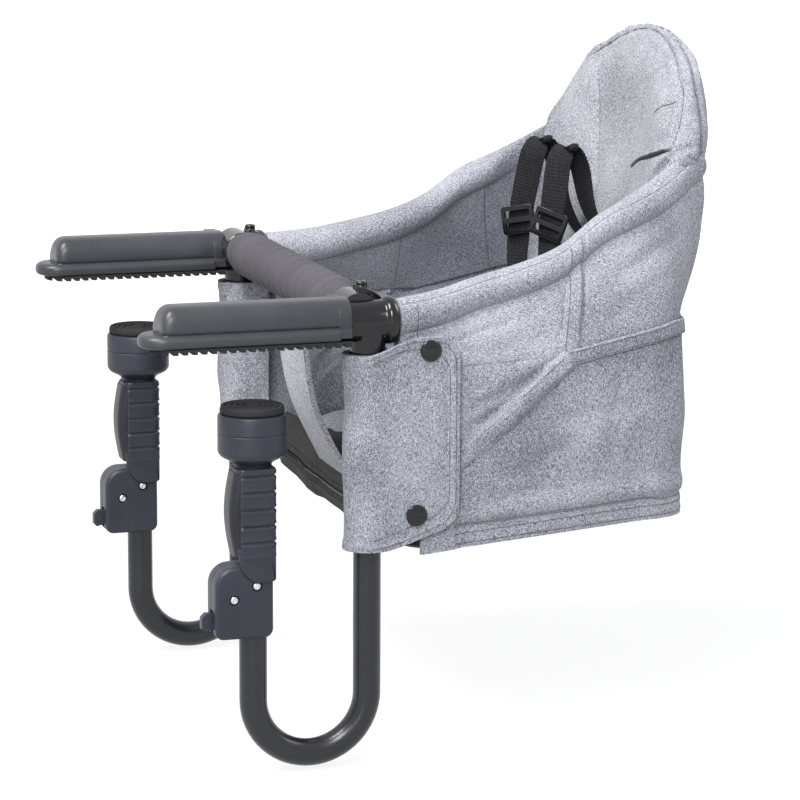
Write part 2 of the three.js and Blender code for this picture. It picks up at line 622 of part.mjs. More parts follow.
const HUB_R = 4;
const noseY = LEG_FRONT_Y - PLUNGER_D / 2 - SLIDE_FIT;

function releaseLever({ name }, group) {
  const tabLow = LEVER_TAB_Z - LEVER_TAB_HEIGHT / 2;
  const tabHigh = LEVER_TAB_Z + LEVER_TAB_HEIGHT / 2;
  const gate = HOUSING_FRONT_Y + HOUSING_WALL + 2;
  const blade = polygon([[LEVER_TAB_Y, tabLow + 2], [LEVER_TAB_Y + 2, tabLow], [gate, tabLow + 3],
    [PIVOT_SCREW_Y + 2, PIVOT_SCREW_Z - 3.2], [noseY - 1, PIVOT_SCREW_Z + 2], [noseY, PIVOT_SCREW_Z + 4],
    [noseY, PIVOT_SCREW_Z + 6], [PIVOT_SCREW_Y + 1, PIVOT_SCREW_Z + 3.8], [PIVOT_SCREW_Y - 3, PIVOT_SCREW_Z + 2.4],
    [gate, tabHigh - 1], [LEVER_TAB_Y + 3, tabHigh], [LEVER_TAB_Y, tabHigh - 3]]);
  const plate = alongX(blade, -LEVER_WIDTH / 2, LEVER_WIDTH / 2);
  const hub = rod('x', HUB_R, -LEVER_WIDTH / 2, LEVER_WIDTH / 2, PIVOT_SCREW_Y, PIVOT_SCREW_Z, 14);
  const hole = rod('x', SCREW_D / 2 + FIT, -LEVER_WIDTH, LEVER_WIDTH, PIVOT_SCREW_Y, PIVOT_SCREW_Z, 10);
  add(`release_lever_${name}`, cut(joined(plate, hub), hole), MOULDED, group);
}

// Torsion spring on the pivot screw, beside the lever's hub.
function leverSpring({ name }, group) {
  const stepsPerTurn = 7;
  const wire = SPRING_WIRE / 2;
  const coil = SCREW_D / 2 + FIT + wire + 0.2;
  const start = LEVER_WIDTH / 2 + FIT + wire;
  const pitch = SPRING_WIRE + 0.45;
  const stations = [];
  for (let i = 0; i <= SPRING_TURNS * stepsPerTurn; i += 1) {
    const turn = 2 * Math.PI * i / stepsPerTurn;
    stations.push(vec(start + pitch * i / stepsPerTurn, PIVOT_SCREW_Y + coil * Math.cos(turn),
      PIVOT_SCREW_Z + coil * Math.sin(turn)));
  }
  let gap = Infinity;
  for (let i = 0; i < stations.length; i += 1) {
    for (let j = i + stepsPerTurn - 1; j < stations.length; j += 1) {
      gap = Math.min(gap, stations[i].distanceTo(stations[j]) - SPRING_WIRE);
    }
  }
  console.log(`lever_spring_${name}: least gap between turns ${gap.toFixed(2)} mm`);
  add(`lever_spring_${name}`, sweptTube(stations, wire, 0, 4), ZINC, group);
}

function plunger({ name }, group) {
  const top = GRIP_TOP_Z - STEM_DEPTH + 7;
  const bar = rod('z', PLUNGER_D / 2, PLUNGER_BOTTOM_Z, top, 0, LEG_FRONT_Y, 16);
  const face = LEG_FRONT_Y - PLUNGER_D / 2;
  const tools = [];
  for (let i = 0; i < TOOTH_COUNT; i += 1) {
    const z = PIVOT_SCREW_Z + 5 - CLAMP_UP + i * TOOTH_PITCH - TOOTH_PITCH;
    const notch = polygon([[face - 1, z - 1], [face + TOOTH_DEPTH, z], [face + TOOTH_DEPTH, z + 1], [face - 1, z + 3]]);
    tools.push(alongX(notch, -PLUNGER_D, PLUNGER_D));
  }
  const slotHalf = SCREW_D / 2 + SLIDE_FIT;
  const slot = box(-PLUNGER_D, PLUNGER_D, LEG_FRONT_Y - slotHalf, LEG_FRONT_Y + slotHalf,
    GUIDE_SCREW_Z - CLAMP_UP - SCREW_D / 2 - 1, GUIDE_SCREW_Z + CLAMP_DOWN + SCREW_D / 2 + 1);
  add(`clamp_plunger_${name}`, cut(bar, ...tools, slot), SATIN_BLACK, group);
}

function grip({ name }, group) {
  const corner = 7;
  const perCorner = 3;
  const ringAt = (z, inset) => {
    const swell = Math.sin(Math.PI * (z - GRIP_BOTTOM_Z) / (GRIP_TOP_Z - GRIP_BOTTOM_Z));
    const [y0, y1] = [GRIP_FRONT_Y + inset - 1.2 * swell + 1.2, GRIP_REAR_Y - inset];
    const [x0, x1] = [GRIP_INNER_X + inset, GRIP_OUTER_X - inset];
    return roundedRect(x0, x1, y0, y1, corner).extractPoints(perCorner / 2).shape.map((p) => vec(p.x, p.y, z));
  };
  const levels = [[GRIP_BOTTOM_Z, 1], [GRIP_BOTTOM_Z + 1.5, 0]];
  for (let i = 0; i < GRIP_RIBS; i += 1) {
    const z = GRIP_TOP_Z - 4 - (GRIP_RIBS - 1 - i) * GRIP_RIB_PITCH;
    if (z - 1 > GRIP_BOTTOM_Z + 2) levels.push([z - 1, 0], [z, GRIP_GROOVE], [z + 1, 0]);
  }
  levels.push([GRIP_TOP_Z - 1.5, 0], [GRIP_TOP_Z, 1.5]);
  const handle = loft(levels.map(([z, inset]) => ringAt(z, inset)));
  const leaf = new THREE.Shape();
  leaf.moveTo(GRIP_FRONT_Y + 3, GRIP_BOTTOM_Z + 8);
  leaf.quadraticCurveTo(GRIP_FRONT_Y + 5, APRON_TIP_Z + 4, GRIP_FRONT_Y + 17, APRON_TIP_Z);
  leaf.lineTo(GRIP_REAR_Y - 5, APRON_TIP_Z);
  leaf.quadraticCurveTo(GRIP_REAR_Y - 1.5, APRON_TIP_Z, GRIP_REAR_Y - 1.5, APRON_TIP_Z + 4);
  leaf.lineTo(GRIP_REAR_Y - 1.5, GRIP_BOTTOM_Z + 8);
  const apron = alongX(leaf, HOUSING_HALF_WIDTH + SOFT_FIT, GRIP_OUTER_X, { segments: 5 });
  const bore = rod('z', tubeR + SLIDE_FIT, GRIP_BOTTOM_Z - 1, GRIP_TOP_Z - STEM_DEPTH, 0, LEG_FRONT_Y, 16);
  const cup = rod('z', STEM_D / 2 + FIT, GRIP_TOP_Z - STEM_DEPTH - FIT, GRIP_TOP_Z + 1, 0, LEG_FRONT_Y, 20);
  add(`clamp_grip_${name}`, cut(joined(handle, apron), bore, cup), MOULDED, group);
}

function foot({ name }, group) {
  const stemBottom = GRIP_TOP_Z - STEM_DEPTH;
  const top = -TABLE_THICKNESS - FOOT_PAD_THICKNESS;
  const profile = [[0, stemBottom + 7 + FIT], [PLUNGER_D / 2 + FIT, stemBottom + 7 + FIT],
    [PLUNGER_D / 2 + FIT, stemBottom], [STEM_D / 2, stemBottom], [STEM_D / 2, GRIP_TOP_Z + 0.5],
    [FOOT_D / 2 - 1, FOOT_FLARE_Z], [FOOT_D / 2, FOOT_FLARE_Z + 3], [FOOT_D / 2, top - 2],
    [FOOT_D / 2 - 2, top - FIT], [0, top - FIT]];
  add(`clamp_foot_${name}`, turned(profile, 'z', 0, LEG_FRONT_Y, 18), MOULDED, group);
  const edge = FOOT_D / 2 - 2.5;
  const pad = [[0, top], [edge, top], [edge + 1, top + 1.5], [edge, -TABLE_THICKNESS], [0, -TABLE_THICKNESS]];
  add(`foot_pad_${name}`, turned(pad, 'z', 0, LEG_FRONT_Y, 18), RUBBER, group);
}

function legWithClamp(side) {
  const group = new THREE.Group();
  group.position.x = ARM_X * side.sign;
  root.add(group);
  for (const build of [legTube, housing, housingScrews, releaseLever, leverSpring, plunger, grip, foot]) {
    build(side, group);
  }
}

// Seat pan with hinge ears, its cushion, the pouch below and the crotch panel

const skirtInset = SKIRT_THICKNESS + 2 * SOFT_FIT;
const innerX = SKIRT_X - skirtInset;
const innerRear = SKIRT_REAR_Y - skirtInset;
const innerCorner = SKIRT_CORNER - skirtInset;
const hoopX = BACK_HALF_WIDTH - HOOP_INSET;
const earX = hoopX + HOOP_D / 2 + FIT;

function panOutline(margin) {
  const shape = new THREE.Shape();
  const front = PAN_FRONT_Y + margin;
  const [half, rear, corner] = [innerX - margin, innerRear - margin, innerCorner - margin / 2];
  shape.absarc(half - 14, front + 14, 14, -Math.PI / 2, 0);
  shape.absarc(half - corner, rear - corner, corner, 0, Math.PI / 2);
  shape.absarc(corner - half, rear - corner, corner, Math.PI / 2, Math.PI);
  shape.absarc(14 - half, front + 14, 14, Math.PI, 1.5 * Math.PI);
  return shape;
}

function seatPan() {
  const board = alongZ(panOutline(0), PAN_TOP_Z - PAN_THICKNESS, PAN_TOP_Z, { segments: 4 });
  const half = EAR_WIDTH / 2;
  const ears = [1, -1].map((sign) => {
    const shape = new THREE.Shape();
    shape.moveTo(HINGE_Y - half, PAN_TOP_Z - 1);
    shape.lineTo(HINGE_Y + half, PAN_TOP_Z - 1);
    shape.absarc(HINGE_Y, HINGE_Z, half, 0, Math.PI);
    const [near, far] = [earX * sign, (earX + EAR_THICKNESS) * sign];
    return alongX(shape, Math.min(near, far), Math.max(near, far), { segments: 5 });
  });
  const pinHole = rod('x', PIN_D / 2 + FIT, -earX - 10, earX + 10, HINGE_Y, HINGE_Z, 12);
  add('seat_pan', cut(joined(board, ...ears), pinHole), MOULDED);
}

function seatCushion() {
  const outline = panOutline(CUSHION_MARGIN).extractPoints(4).shape;
  const centre = new THREE.Vector2(0, (PAN_FRONT_Y + innerRear) / 2 - 6);
  const base = PAN_TOP_Z + FIT;
  const drawn = (p) => 1 - 0.035 * Math.sin(2 * Math.atan2(p.y - centre.y, p.x)) ** 2;
  const ring = (share, z) => outline.map((p) => {
    const pull = share * (2 - drawn(p)) / 1.035;
    const y = Math.min(centre.y + (p.y - centre.y) * pull, HINGE_Y - EAR_WIDTH / 2 - 1);
    return vec(p.x * pull, y, z);
  });
  const levels = [[0.94, 0], [1, 0.3], [0.99, 0.6], [0.93, 0.85], [0.7, 0.97], [0.35, 1]];
  add('seat_cushion', loft(levels.map(([share, rise]) => ring(share, base + rise * CUSHION_HEIGHT))), FABRIC);
}

function stowPouch() {
  const outline = panOutline(POUCH_MARGIN).extractPoints(4).shape;
  const front = PAN_FRONT_Y + POUCH_MARGIN;
  const top = PAN_TOP_Z - PAN_THICKNESS - FIT;
  const levels = [[1, 0], [1.02, 0.35], [0.98, 0.75], [0.85, 0.95], [0.5, 1]];
  const middle = (front + innerRear) / 2;
  const rings = levels.map(([share, drop]) => outline.map((p) =>
    vec(p.x * share, middle + (p.y - middle) * share * 1.02 - 20, top - drop * POUCH_DEPTH)));
  add('stow_pouch', loft(rings), LINING);
}

function crotchPanel() {
  const top = CROSSBAR_Z - FOAM_OD / 2 - SOFT_FIT;
  const path = curveThrough([vec(0, CROSSBAR_Y, top), vec(0, 13, -30), vec(0, 22, -75),
    vec(0, PAN_FRONT_Y - CROTCH_THICKNESS / 2 - SOFT_FIT, PAN_TOP_Z - PAN_THICKNESS)]);
  const stations = path.getPoints(8).map((at) => ({ at, across: X_AXIS }));
  add('crotch_panel', strap(stations, CROTCH_WIDTH, CROTCH_THICKNESS), FABRIC);
}

// Cloth of the seat: skirt, leg flaps, wings

function skirt() {
  const height = (share, distance) => {
    const back = Math.min(distance / sideRun, 1);
    const hem = THREE.MathUtils.lerp(HEM_FRONT_Z, HEM_REAR_Z, back);
    return THREE.MathUtils.lerp(hem, waistAt(outlineAt(distance).at.y), share);
  };
  const fold = (share, distance) => {
    const past = Math.max(distance - (FLAP_REAR_Y - SKIRT_FRONT_Y) - 4, 0);
    const wave = 0.5 - 0.5 * Math.cos(past * 2 * Math.PI / 74);
    return SKIRT_FOLD * wave * Math.sin(Math.PI * share) ** 2;
  };
  const levels = [0, 0.3, 0.65, 1];
  const ring = (distance, sign) => {
    const { at, out } = outlineAt(distance);
    const place = (share, depth) => {
      const p = at.clone().addScaledVector(out, fold(share, distance) - depth);
      return mirrored(vec(p.x, p.y, height(share, distance)), sign);
    };
    return [...levels.map((s) => place(s, 0)), ...levels.toReversed().map((s) => place(s, SKIRT_THICKNESS))];
  };
  const spread = (from, to, count) => Array.from({ length: count }, (_, i) => from + (to - from) * i / count);
  const turnEnd = sideRun + cornerRun;
  const spots = [...spread(0, sideRun, 9), ...spread(sideRun, turnEnd, 6), ...spread(turnEnd, halfRun, 4), halfRun];
  const rings = [...spots.map((d) => ring(d, 1)), ...spots.toReversed().slice(1).map((d) => ring(d, -1))];
  add('seat_skirt', loft(rings), FABRIC);
}

function legFlap({ name, sign }) {
  const outerX = SKIRT_X + SOFT_FIT + FLAP_THICKNESS / 2;
  const radius = outerX - ARM_X;
  const path = [];
  for (let i = 0; i <= 4; i += 1) {
    path.push({ at: vec(outerX, THREE.MathUtils.lerp(FLAP_REAR_Y, LEG_REAR_Y, i / 4), 0), out: vec(1, 0, 0) });
  }
  for (let i = 1; i <= 8; i += 1) {
    const turn = -Math.PI * i / 8;
    const out = vec(Math.cos(turn), Math.sin(turn), 0);
    path.push({ at: vec(ARM_X, LEG_REAR_Y, 0).addScaledVector(out, radius), out });
  }
  path.push({ at: vec(ARM_X - radius, SKIRT_FRONT_Y - 6, 0), out: vec(-1, 0, 0) });
  const levels = [0, 0.25, 0.5, 0.75, 1];
  const rings = path.map(({ at, out }, i) => {
    const back = Math.max(1 - i / 4, 0);
    const low = FLAP_BOTTOM_Z + 14 * back;
    const wrap = i > 4 ? 1.6 * Math.sin(Math.PI * (i - 4) / 9) : 0;
    const place = (share, depth) => {
      const wave = wrap * (0.5 - 0.5 * Math.cos(share * 4 * Math.PI));
      const p = at.clone().addScaledVector(out, wave + FLAP_THICKNESS / 2 - depth);
      return mirrored(vec(p.x, p.y, THREE.MathUtils.lerp(low, FLAP_TOP_Z, share)), sign);
    };
    return [...levels.map((s) => place(s, 0)), ...levels.toReversed().map((s) => place(s, FLAP_THICKNESS))];
  });
  add(`leg_flap_${name}`, loft(rings), FABRIC);
}

function snapCaps({ name, sign }) {
  const seat = SKIRT_X + SOFT_FIT + FLAP_THICKNESS + FIT;
  const profile = [[0, seat], [SNAP_D / 2, seat], [SNAP_D / 2, seat + 1], [SNAP_D / 2 - 1.5, seat + SNAP_HEIGHT - 0.6],
    [SNAP_D / 4, seat + SNAP_HEIGHT], [0, seat + SNAP_HEIGHT]];
  for (const snap of SNAPS) {
    const cap = turned(profile, 'x', snap.y, snap.z, 14).applyMatrix4(new THREE.Matrix4().makeScale(sign, 1, 1));
    add(`snap_${snap.name}_${name}`, cap, GLOSSY);
  }
}

function wing({ name, sign }) {
  const STEPS = 15;
  const rollAngles = [-40, 0, 45, 90, 135, 180, 215, 250].map(degrees);
  const rearReach = halfRun - WING_END_X;
  const rings = [];
  for (let i = 0; i <= STEPS; i += 1) {
    const share = i / STEPS;
    const centre = rollAt(share);
    const roll = rollRadiusAt(share);
    const { at: foot } = outlineAt(share * rearReach);
    foot.y += share === 0 ? RIM[0].at.y - SKIRT_FRONT_Y : 0;
    const out = vec(foot.x - centre.x, foot.y - centre.y, 0);
    const reach = out.length();
    out.normalize();
    const drop = waistAt(foot.y) + WAIST_LAP - centre.z;
    const fold = WING_FOLD * (0.5 - 0.5 * Math.cos(share * 5 * Math.PI));
    const place = (h, v) => vec(centre.x + out.x * h, centre.y + out.y * h, centre.z + v);
    const onRoll = (angle) => place(roll * Math.cos(angle), roll * Math.sin(angle));
    const [h0, v0] = [roll * Math.cos(rollAngles[0]), roll * Math.sin(rollAngles[0])];
    const bulge = fold + 1 + WING_BULGE * share ** 4;
    const [hm, vm] = [(h0 + reach) / 2 + bulge, (v0 + drop) / 2];
    rings.push([place(reach - WING_WALL, drop), place(reach, drop), place(hm, vm), ...rollAngles.map(onRoll),
      place(hm - WING_WALL - 1.5, vm - 3)]);
  }
  const shell = loft(rings);
  const channel = sweptTube(armStations, tubeR + SOFT_FIT, 0, 12);
  add(`seat_wing_${name}`, cut(shell, channel).applyMatrix4(new THREE.Matrix4().makeScale(sign, 1, 1)), FABRIC);
}

// Folding back: pad with a crown, the hoop inside it and the pins it turns on

const backZ = (share) => BACK_BOTTOM_Z + BACK_HEIGHT * share;

// Rear of the back in the middle plane, as shares of its lean and of its height.
const REAR_PROFILE = curveThrough([
  [0, -0.0842], [0.205, 0.0474], [0.436, 0.2158], [0.667, 0.4158], [0.897, 0.6579], [1, 0.8632], [1, 1.0211],
].map(([lean, rise]) => vec(0, SKIRT_REAR_Y + BACK_LEAN * lean, backZ(rise))));
const rearSamples = REAR_PROFILE.getPoints(40);

// Middle surface of the back, as y over x and z. The sides come forward, more so higher up.
function backY(x, z) {
  const i = Math.max(rearSamples.findIndex((p) => p.z >= z), 1);
  const [below, above] = [rearSamples[i - 1], rearSamples[i]];
  const rear = THREE.MathUtils.mapLinear(z, below.z, above.z, below.y, above.y);
  const bend = THREE.MathUtils.lerp(0.0004, 0.0017, THREE.MathUtils.smoothstep(z, 0, 110));
  return rear - BACK_EDGE / 2 - BACK_CROWN - bend * x * x;
}

function backOutline() {
  const arch = curveThrough([
    [1, 0.5158], [0.9535, 0.6421], [0.8494, 0.7474], [0.6891, 0.8474], [0.4407, 0.9316], [0.1763, 0.9895], [0, 1],
  ].map(([across, rise]) => vec(BACK_HALF_WIDTH * across, 0, backZ(rise)))).getPoints(8);
  const right = [[0, 0], [0.481, 0], [0.968, 0], [1, 0.0211], [1, 0.1684], [1, 0.3474]]
    .map(([across, rise]) => vec(BACK_HALF_WIDTH * across, 0, backZ(rise)));
  right.push(...arch);
  const left = right.slice(1, -1).toReversed().map((p) => mirrored(p, -1));
  return [...right, ...left];
}

function hoopStations() {
  const half = [
    [1, 0.1263], [1, 0.3368], [0.9636, 0.5158], [0.8545, 0.6579], [0.6545, 0.7789], [0.3636, 0.8632], [0, 0.9053],
  ].map(([across, rise]) => vec(hoopX * across, 0, backZ(rise)));
  const full = [...half, ...half.slice(0, -1).toReversed().map((p) => mirrored(p, -1))];
  const smooth = curveThrough(full).getPoints(18).map((p) => vec(p.x, backY(p.x, p.z), p.z));
  const ends = [1, -1].map((sign) => vec(hoopX * sign, HINGE_Y, HINGE_Z - PIN_D - 1));
  const knees = [1, -1].map((sign) => vec(hoopX * sign, HINGE_Y, HINGE_Z + 5));
  return [ends[0], knees[0], ...smooth, knees[1], ends[1]];
}

// The rear face swells towards the sides, but not at the bottom.
function sideSwell(x, z) {
  const across = THREE.MathUtils.smoothstep(Math.abs(x) / BACK_HALF_WIDTH, 0.24, 0.8);
  return BACK_SIDE_SWELL * across * THREE.MathUtils.smoothstep((z - BACK_BOTTOM_Z) / BACK_HEIGHT, 0, 0.3);
}

function foldingBack() {
  const outline = backOutline();
  const centre = vec(0, 0, backZ(0.4316));
  const shares = [0.3, 0.6, 0.84, 0.95, 1];
  const face = (share, way) => outline.map((p) => {
    const x = p.x * share;
    const z = centre.z + (p.z - centre.z) * share;
    const channel = 2.2 * Math.exp(-(((Math.abs(x) - 52) / 5) ** 2)) * (1 - share ** 4);
    const swell = BACK_CROWN * (1 - share ** 6) + (way < 0 ? -channel : sideSwell(x, z) * share ** 2);
    return vec(x, backY(x, z) + way * (BACK_EDGE / 2 + swell), z);
  });
  const rings = [...shares.map((s) => face(s, -1)), ...shares.toReversed().map((s) => face(s, 1))];
  const stations = hoopStations();
  const channel = sweptTube(stations, HOOP_D / 2 + SOFT_FIT, 0, 8);
  add('back_pad', cut(loft(rings), channel), FABRIC);
  const hole = rod('x', PIN_D / 2 + FIT, -hoopX - HOOP_D, hoopX + HOOP_D, HINGE_Y, HINGE_Z, 12);
  add('back_hoop', cut(sweptTube(stations, HOOP_D / 2, 0, 8), hole), SATIN_BLACK);
  for (const { name, sign } of SIDES) {
    const far = earX + EAR_THICKNESS;
    const profile = [[0, hoopX - HOOP_D / 2 - 1], [PIN_D / 2, hoopX - HOOP_D / 2 - 1], [PIN_D / 2, far + FIT],
      [PIN_D / 2 + 1.5, far + FIT], [PIN_D / 2 + 1.5, far + 1.6], [0, far + 1.6]];
    const pin = turned(profile, 'x', HINGE_Y, HINGE_Z, 12).applyMatrix4(new THREE.Matrix4().makeScale(sign, 1, 1));
    add(`back_pin_${name}`, pin, ZINC);
  }
}

// Harness: shoulder straps with sliders, waist straps, crotch strap and buckle

const STEPS_TO_SLIDER = 8; // of the strap's steps
const SLIDER_AT = {
  left: vec(STRAP_X, SLIDER_Y, SLIDER_Z),
  right: vec(-STRAP_X - SLIDER_SPREAD, SLIDER_Y, SLIDER_Z - SLIDER_DROP),
};

function shoulderStrap({ name, sign }) {
  const slider = SLIDER_AT[name];
  const loopFoot = LOOP_TOP_Z - WEB_WIDTH;
  const face = backY(STRAP_X, loopFoot) - BACK_EDGE / 2 - BACK_CROWN - WEB_THICKNESS - SOFT_FIT;
  const tongue = BUCKLE_Z + BUCKLE_HALF_HEIGHT + 2 * SOFT_FIT;
  const path = curveThrough([
    vec(STRAP_X * sign, face, loopFoot),
    vec(STRAP_X * sign, face - LOOP_REACH / 3, LOOP_TOP_Z - WEB_WIDTH / 5),
    vec((STRAP_X + FIT) * sign, face - LOOP_REACH, LOOP_TOP_Z),
    vec(slider.x, STRAP_FALL_Y + LOOP_REACH * 0.62, loopFoot),
    slider,
    vec(slider.x, STRAP_FALL_Y, SLIDER_Z - WEB_WIDTH * 2),
    vec(slider.x * 0.7, STRAP_FALL_Y, SLIDER_Z - WEB_WIDTH * 3.75),
    vec(BUCKLE_HALF_WIDTH / 2 * sign, BUCKLE_Y, tongue + WEB_WIDTH / 2),
    vec(BUCKLE_HALF_WIDTH / 2 * sign, BUCKLE_Y, tongue),
  ]);
  const stations = path.getPoints(2 * STEPS_TO_SLIDER).map((at, i) => {
    const twist = degrees(STRAP_TWIST) * Math.sin(Math.PI / 2 * i / STEPS_TO_SLIDER) ** 2;
    return { at, across: X_AXIS.clone().applyAxisAngle(Z_AXIS, twist) };
  });
  add(`shoulder_strap_${name}`, strap(stations, WEB_WIDTH, WEB_THICKNESS), WEBBING);

  const reach = WEB_WIDTH / 2 + SLIDER_FRAME;
  const bars = [-1, 0, 1].map((row) => {
    const z = row * 9;
    return box(-reach, reach, -SLIDER_FRAME / 2, SLIDER_FRAME / 2, z - 1.6, z + 1.6);
  });
  const rails = [-1, 1].map((way) => {
    const edge = way * (reach - SLIDER_FRAME / 2);
    return box(edge - SLIDER_FRAME / 2, edge + SLIDER_FRAME / 2, -SLIDER_FRAME / 2, SLIDER_FRAME / 2, -10.6, 10.6);
  });
  const [above, below] = [stations[STEPS_TO_SLIDER - 1].at, stations[STEPS_TO_SLIDER + 1].at];
  const tilt = Math.atan2(below.y - above.y, above.z - below.z);
  const lift = WEB_THICKNESS / 2 + SLIDER_FRAME / 2 + 2 * SOFT_FIT;
  const frame = joined(...bars, ...rails).translate(0, -lift, 0).rotateZ(degrees(STRAP_TWIST)).rotateX(tilt);
  add(`strap_slider_${name}`, frame.translate(slider.x, slider.y, slider.z), GLOSSY);
}

function waistStrap({ name, sign }) {
  const corner = vec(SKIRT_X - SKIRT_CORNER, SKIRT_REAR_Y - SKIRT_CORNER, 0);
  const hip = corner.addScaledVector(vec(1, 1, 0).normalize(), innerCorner - 2 * SOFT_FIT);
  const inner = BUCKLE_HALF_WIDTH + WEB_WIDTH / 2;
  const between = (x, y, z) => vec(
    THREE.MathUtils.lerp(hip.x, inner, x) * sign,
    THREE.MathUtils.lerp(hip.y, BUCKLE_Y, y),
    THREE.MathUtils.lerp(HIP_Z, BUCKLE_Z, z),
  );
  const path = curveThrough([between(0, 0, 0), between(0.476, 0.633, 0.2), between(0.833, 0.939, 0.75),
    between(1, 1, 1), vec((BUCKLE_HALF_WIDTH + 2 * SOFT_FIT) * sign, BUCKLE_Y, BUCKLE_Z)]);
  const stations = path.getPoints(8).map((at) => ({ at, across: Z_AXIS }));
  add(`waist_strap_${name}`, strap(stations, WEB_WIDTH, WEB_THICKNESS), WEBBING);
}

function buckle() {
  const [low, high] = [BUCKLE_Z - BUCKLE_HALF_HEIGHT, BUCKLE_Z + BUCKLE_HALF_HEIGHT];
  const outline = roundedRect(low, high, -BUCKLE_HALF_WIDTH, BUCKLE_HALF_WIDTH, 8);
  const half = BUCKLE_THICKNESS / 2;
  add('harness_buckle', alongY(outline, BUCKLE_Y - half, BUCKLE_Y + half, { bevel: 1.5, segments: 3 }), GLOSSY);
  const bottom = PAN_TOP_Z + FIT + CUSHION_HEIGHT + SOFT_FIT;
  const path = curveThrough([vec(0, BUCKLE_Y, bottom), vec(0, BUCKLE_Y - 3, (bottom + low) / 2),
    vec(0, BUCKLE_Y, low - 2 * SOFT_FIT)]);
  const stations = path.getPoints(6).map((at) => ({ at, across: X_AXIS }));
  add('crotch_strap', strap(stations, WEB_WIDTH, WEB_THICKNESS), WEBBING);
}

for (const side of SIDES) {
  armTube(side);
  armPad(side);
  connector(side);
  legWithClamp(side);
  legFlap(side);
  snapCaps(side);
  wing(side);
  shoulderStrap(side);
  waistStrap(side);
}
crossbar();
seatPan();
seatCushion();
stowPouch();
crotchPanel();
skirt();
foldingBack();
buckle();

export default root;
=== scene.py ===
"""Hook-on table chair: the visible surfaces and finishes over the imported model.

Lengths are in millimetres until a mesh is made, and in metres for camera, lamps and joints. The frame is the
model's own: +X is the sitter's left, +Y runs from the arm pads to the back, +Z is up, and the origin is midway
between the pads, level with the undersides of their soles and just before their rear ends.
"""

from __future__ import annotations

import logging
import math
from collections.abc import Callable, Iterable, Sequence
from dataclasses import dataclass
from enum import Enum

import bpy
import numpy as np
from mathutils import Matrix, Vector, noise
from mathutils.bvhtree import BVHTree


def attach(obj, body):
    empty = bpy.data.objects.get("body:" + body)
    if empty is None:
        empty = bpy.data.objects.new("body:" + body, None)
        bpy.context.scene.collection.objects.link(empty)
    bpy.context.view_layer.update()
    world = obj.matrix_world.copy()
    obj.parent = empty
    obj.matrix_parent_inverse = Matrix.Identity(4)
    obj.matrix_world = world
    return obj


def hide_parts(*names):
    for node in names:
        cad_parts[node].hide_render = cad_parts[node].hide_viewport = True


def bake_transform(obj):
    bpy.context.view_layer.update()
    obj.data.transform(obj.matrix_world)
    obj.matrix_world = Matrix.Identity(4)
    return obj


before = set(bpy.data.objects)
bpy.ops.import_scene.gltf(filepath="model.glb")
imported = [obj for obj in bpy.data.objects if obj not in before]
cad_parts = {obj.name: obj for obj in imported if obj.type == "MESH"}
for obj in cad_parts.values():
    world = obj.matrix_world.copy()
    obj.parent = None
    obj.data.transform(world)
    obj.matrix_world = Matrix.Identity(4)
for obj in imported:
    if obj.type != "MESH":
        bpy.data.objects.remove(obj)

logging.basicConfig(level=logging.INFO, format="%(message)s")
log = logging.getLogger("chair")

MM = 0.001
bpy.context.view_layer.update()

# Middle lines of the arms, the crossbar and the legs' two ends; the tubes' radius, and that of a hole for one
ARM_X = 165.0
ARM_Z = 14.5
BAR = (0.0, 12.0, 20.0)
LEG_REAR = 18.0
LEG_FRONT = -63.0
TUBE = 9.5
BORE = 9.8

# Spans round a plate's edge, frames of a cloth run, and the Y from which lines are cast on the back
EDGE_STEPS = 5
CLOTH_FRAMES = 20
BEFORE, BEHIND = 180.0, 340.0

Array = np.ndarray
Triple = tuple[float, float, float]
Box = tuple[float, float, float, float]
Faces = list[tuple[int, ...]]
Surface = tuple[Array, Faces]
Profile = Sequence[tuple[float, float]]
Socket = bpy.types.NodeSocket
Piece = bpy.types.Object


class Side(Enum):
    """The sitter's side, with the sign of X on it."""

    LEFT = 1
    RIGHT = -1

    def __str__(self) -> str:
        """Name that ends the side's node names."""
        return self.name.lower()

    def mirror(self, points: Array) -> Array:
        """Points of the left side, moved to this side."""
        return points * np.array([self.value, 1.0, 1.0])


class Axis(Enum):
    """Direction along which a plate or a turned piece runs."""

    X = 0
    Y = 1
    Z = 2

    @property
    def others(self) -> tuple[int, int]:
        """The two coordinates that follow it."""
        return (self.value + 1) % 3, (self.value + 2) % 3


# Curves and surfaces


def smooth(low: float, high: float, value: float | Array) -> float | Array:
    """Smooth step from 0 at low to 1 at high."""
    share = np.clip((value - low) / (high - low), 0.0, 1.0)
    return share * share * (3.0 - 2.0 * share)


def ridge(distance: float | Array, width: float) -> float | Array:
    """Bell that is 1 at a line and falls off over a width."""
    return np.exp(-((distance / width) ** 2))


def spline(points: Sequence[Sequence[float]], count: int) -> Array:
    """Smooth curve through points.

    Args:
        points: Points that the curve passes.
        count: Number of places along it.

    Returns:
        The places, one row each.
    """
    keys = np.array(points, dtype=float)
    keys = np.vstack([2 * keys[0] - keys[1], keys, 2 * keys[-1] - keys[-2]])
    place = np.linspace(0, len(points) - 1, count)
    index = np.minimum(place.astype(int), len(points) - 2)
    t = (place - index)[:, None]
    a, b, c, d = (keys[index + i] for i in range(4))
    return 0.5 * (2 * b + (c - a) * t + (2 * a - 5 * b + 4 * c - d) * t**2 + (3 * b - a - 3 * c + d) * t**3)


def travelled(path: Array) -> Array:
    """Distance along a path at each of its places."""
    return np.concatenate([[0.0], np.cumsum(np.linalg.norm(np.diff(path[:, :3], axis=0), axis=1))])


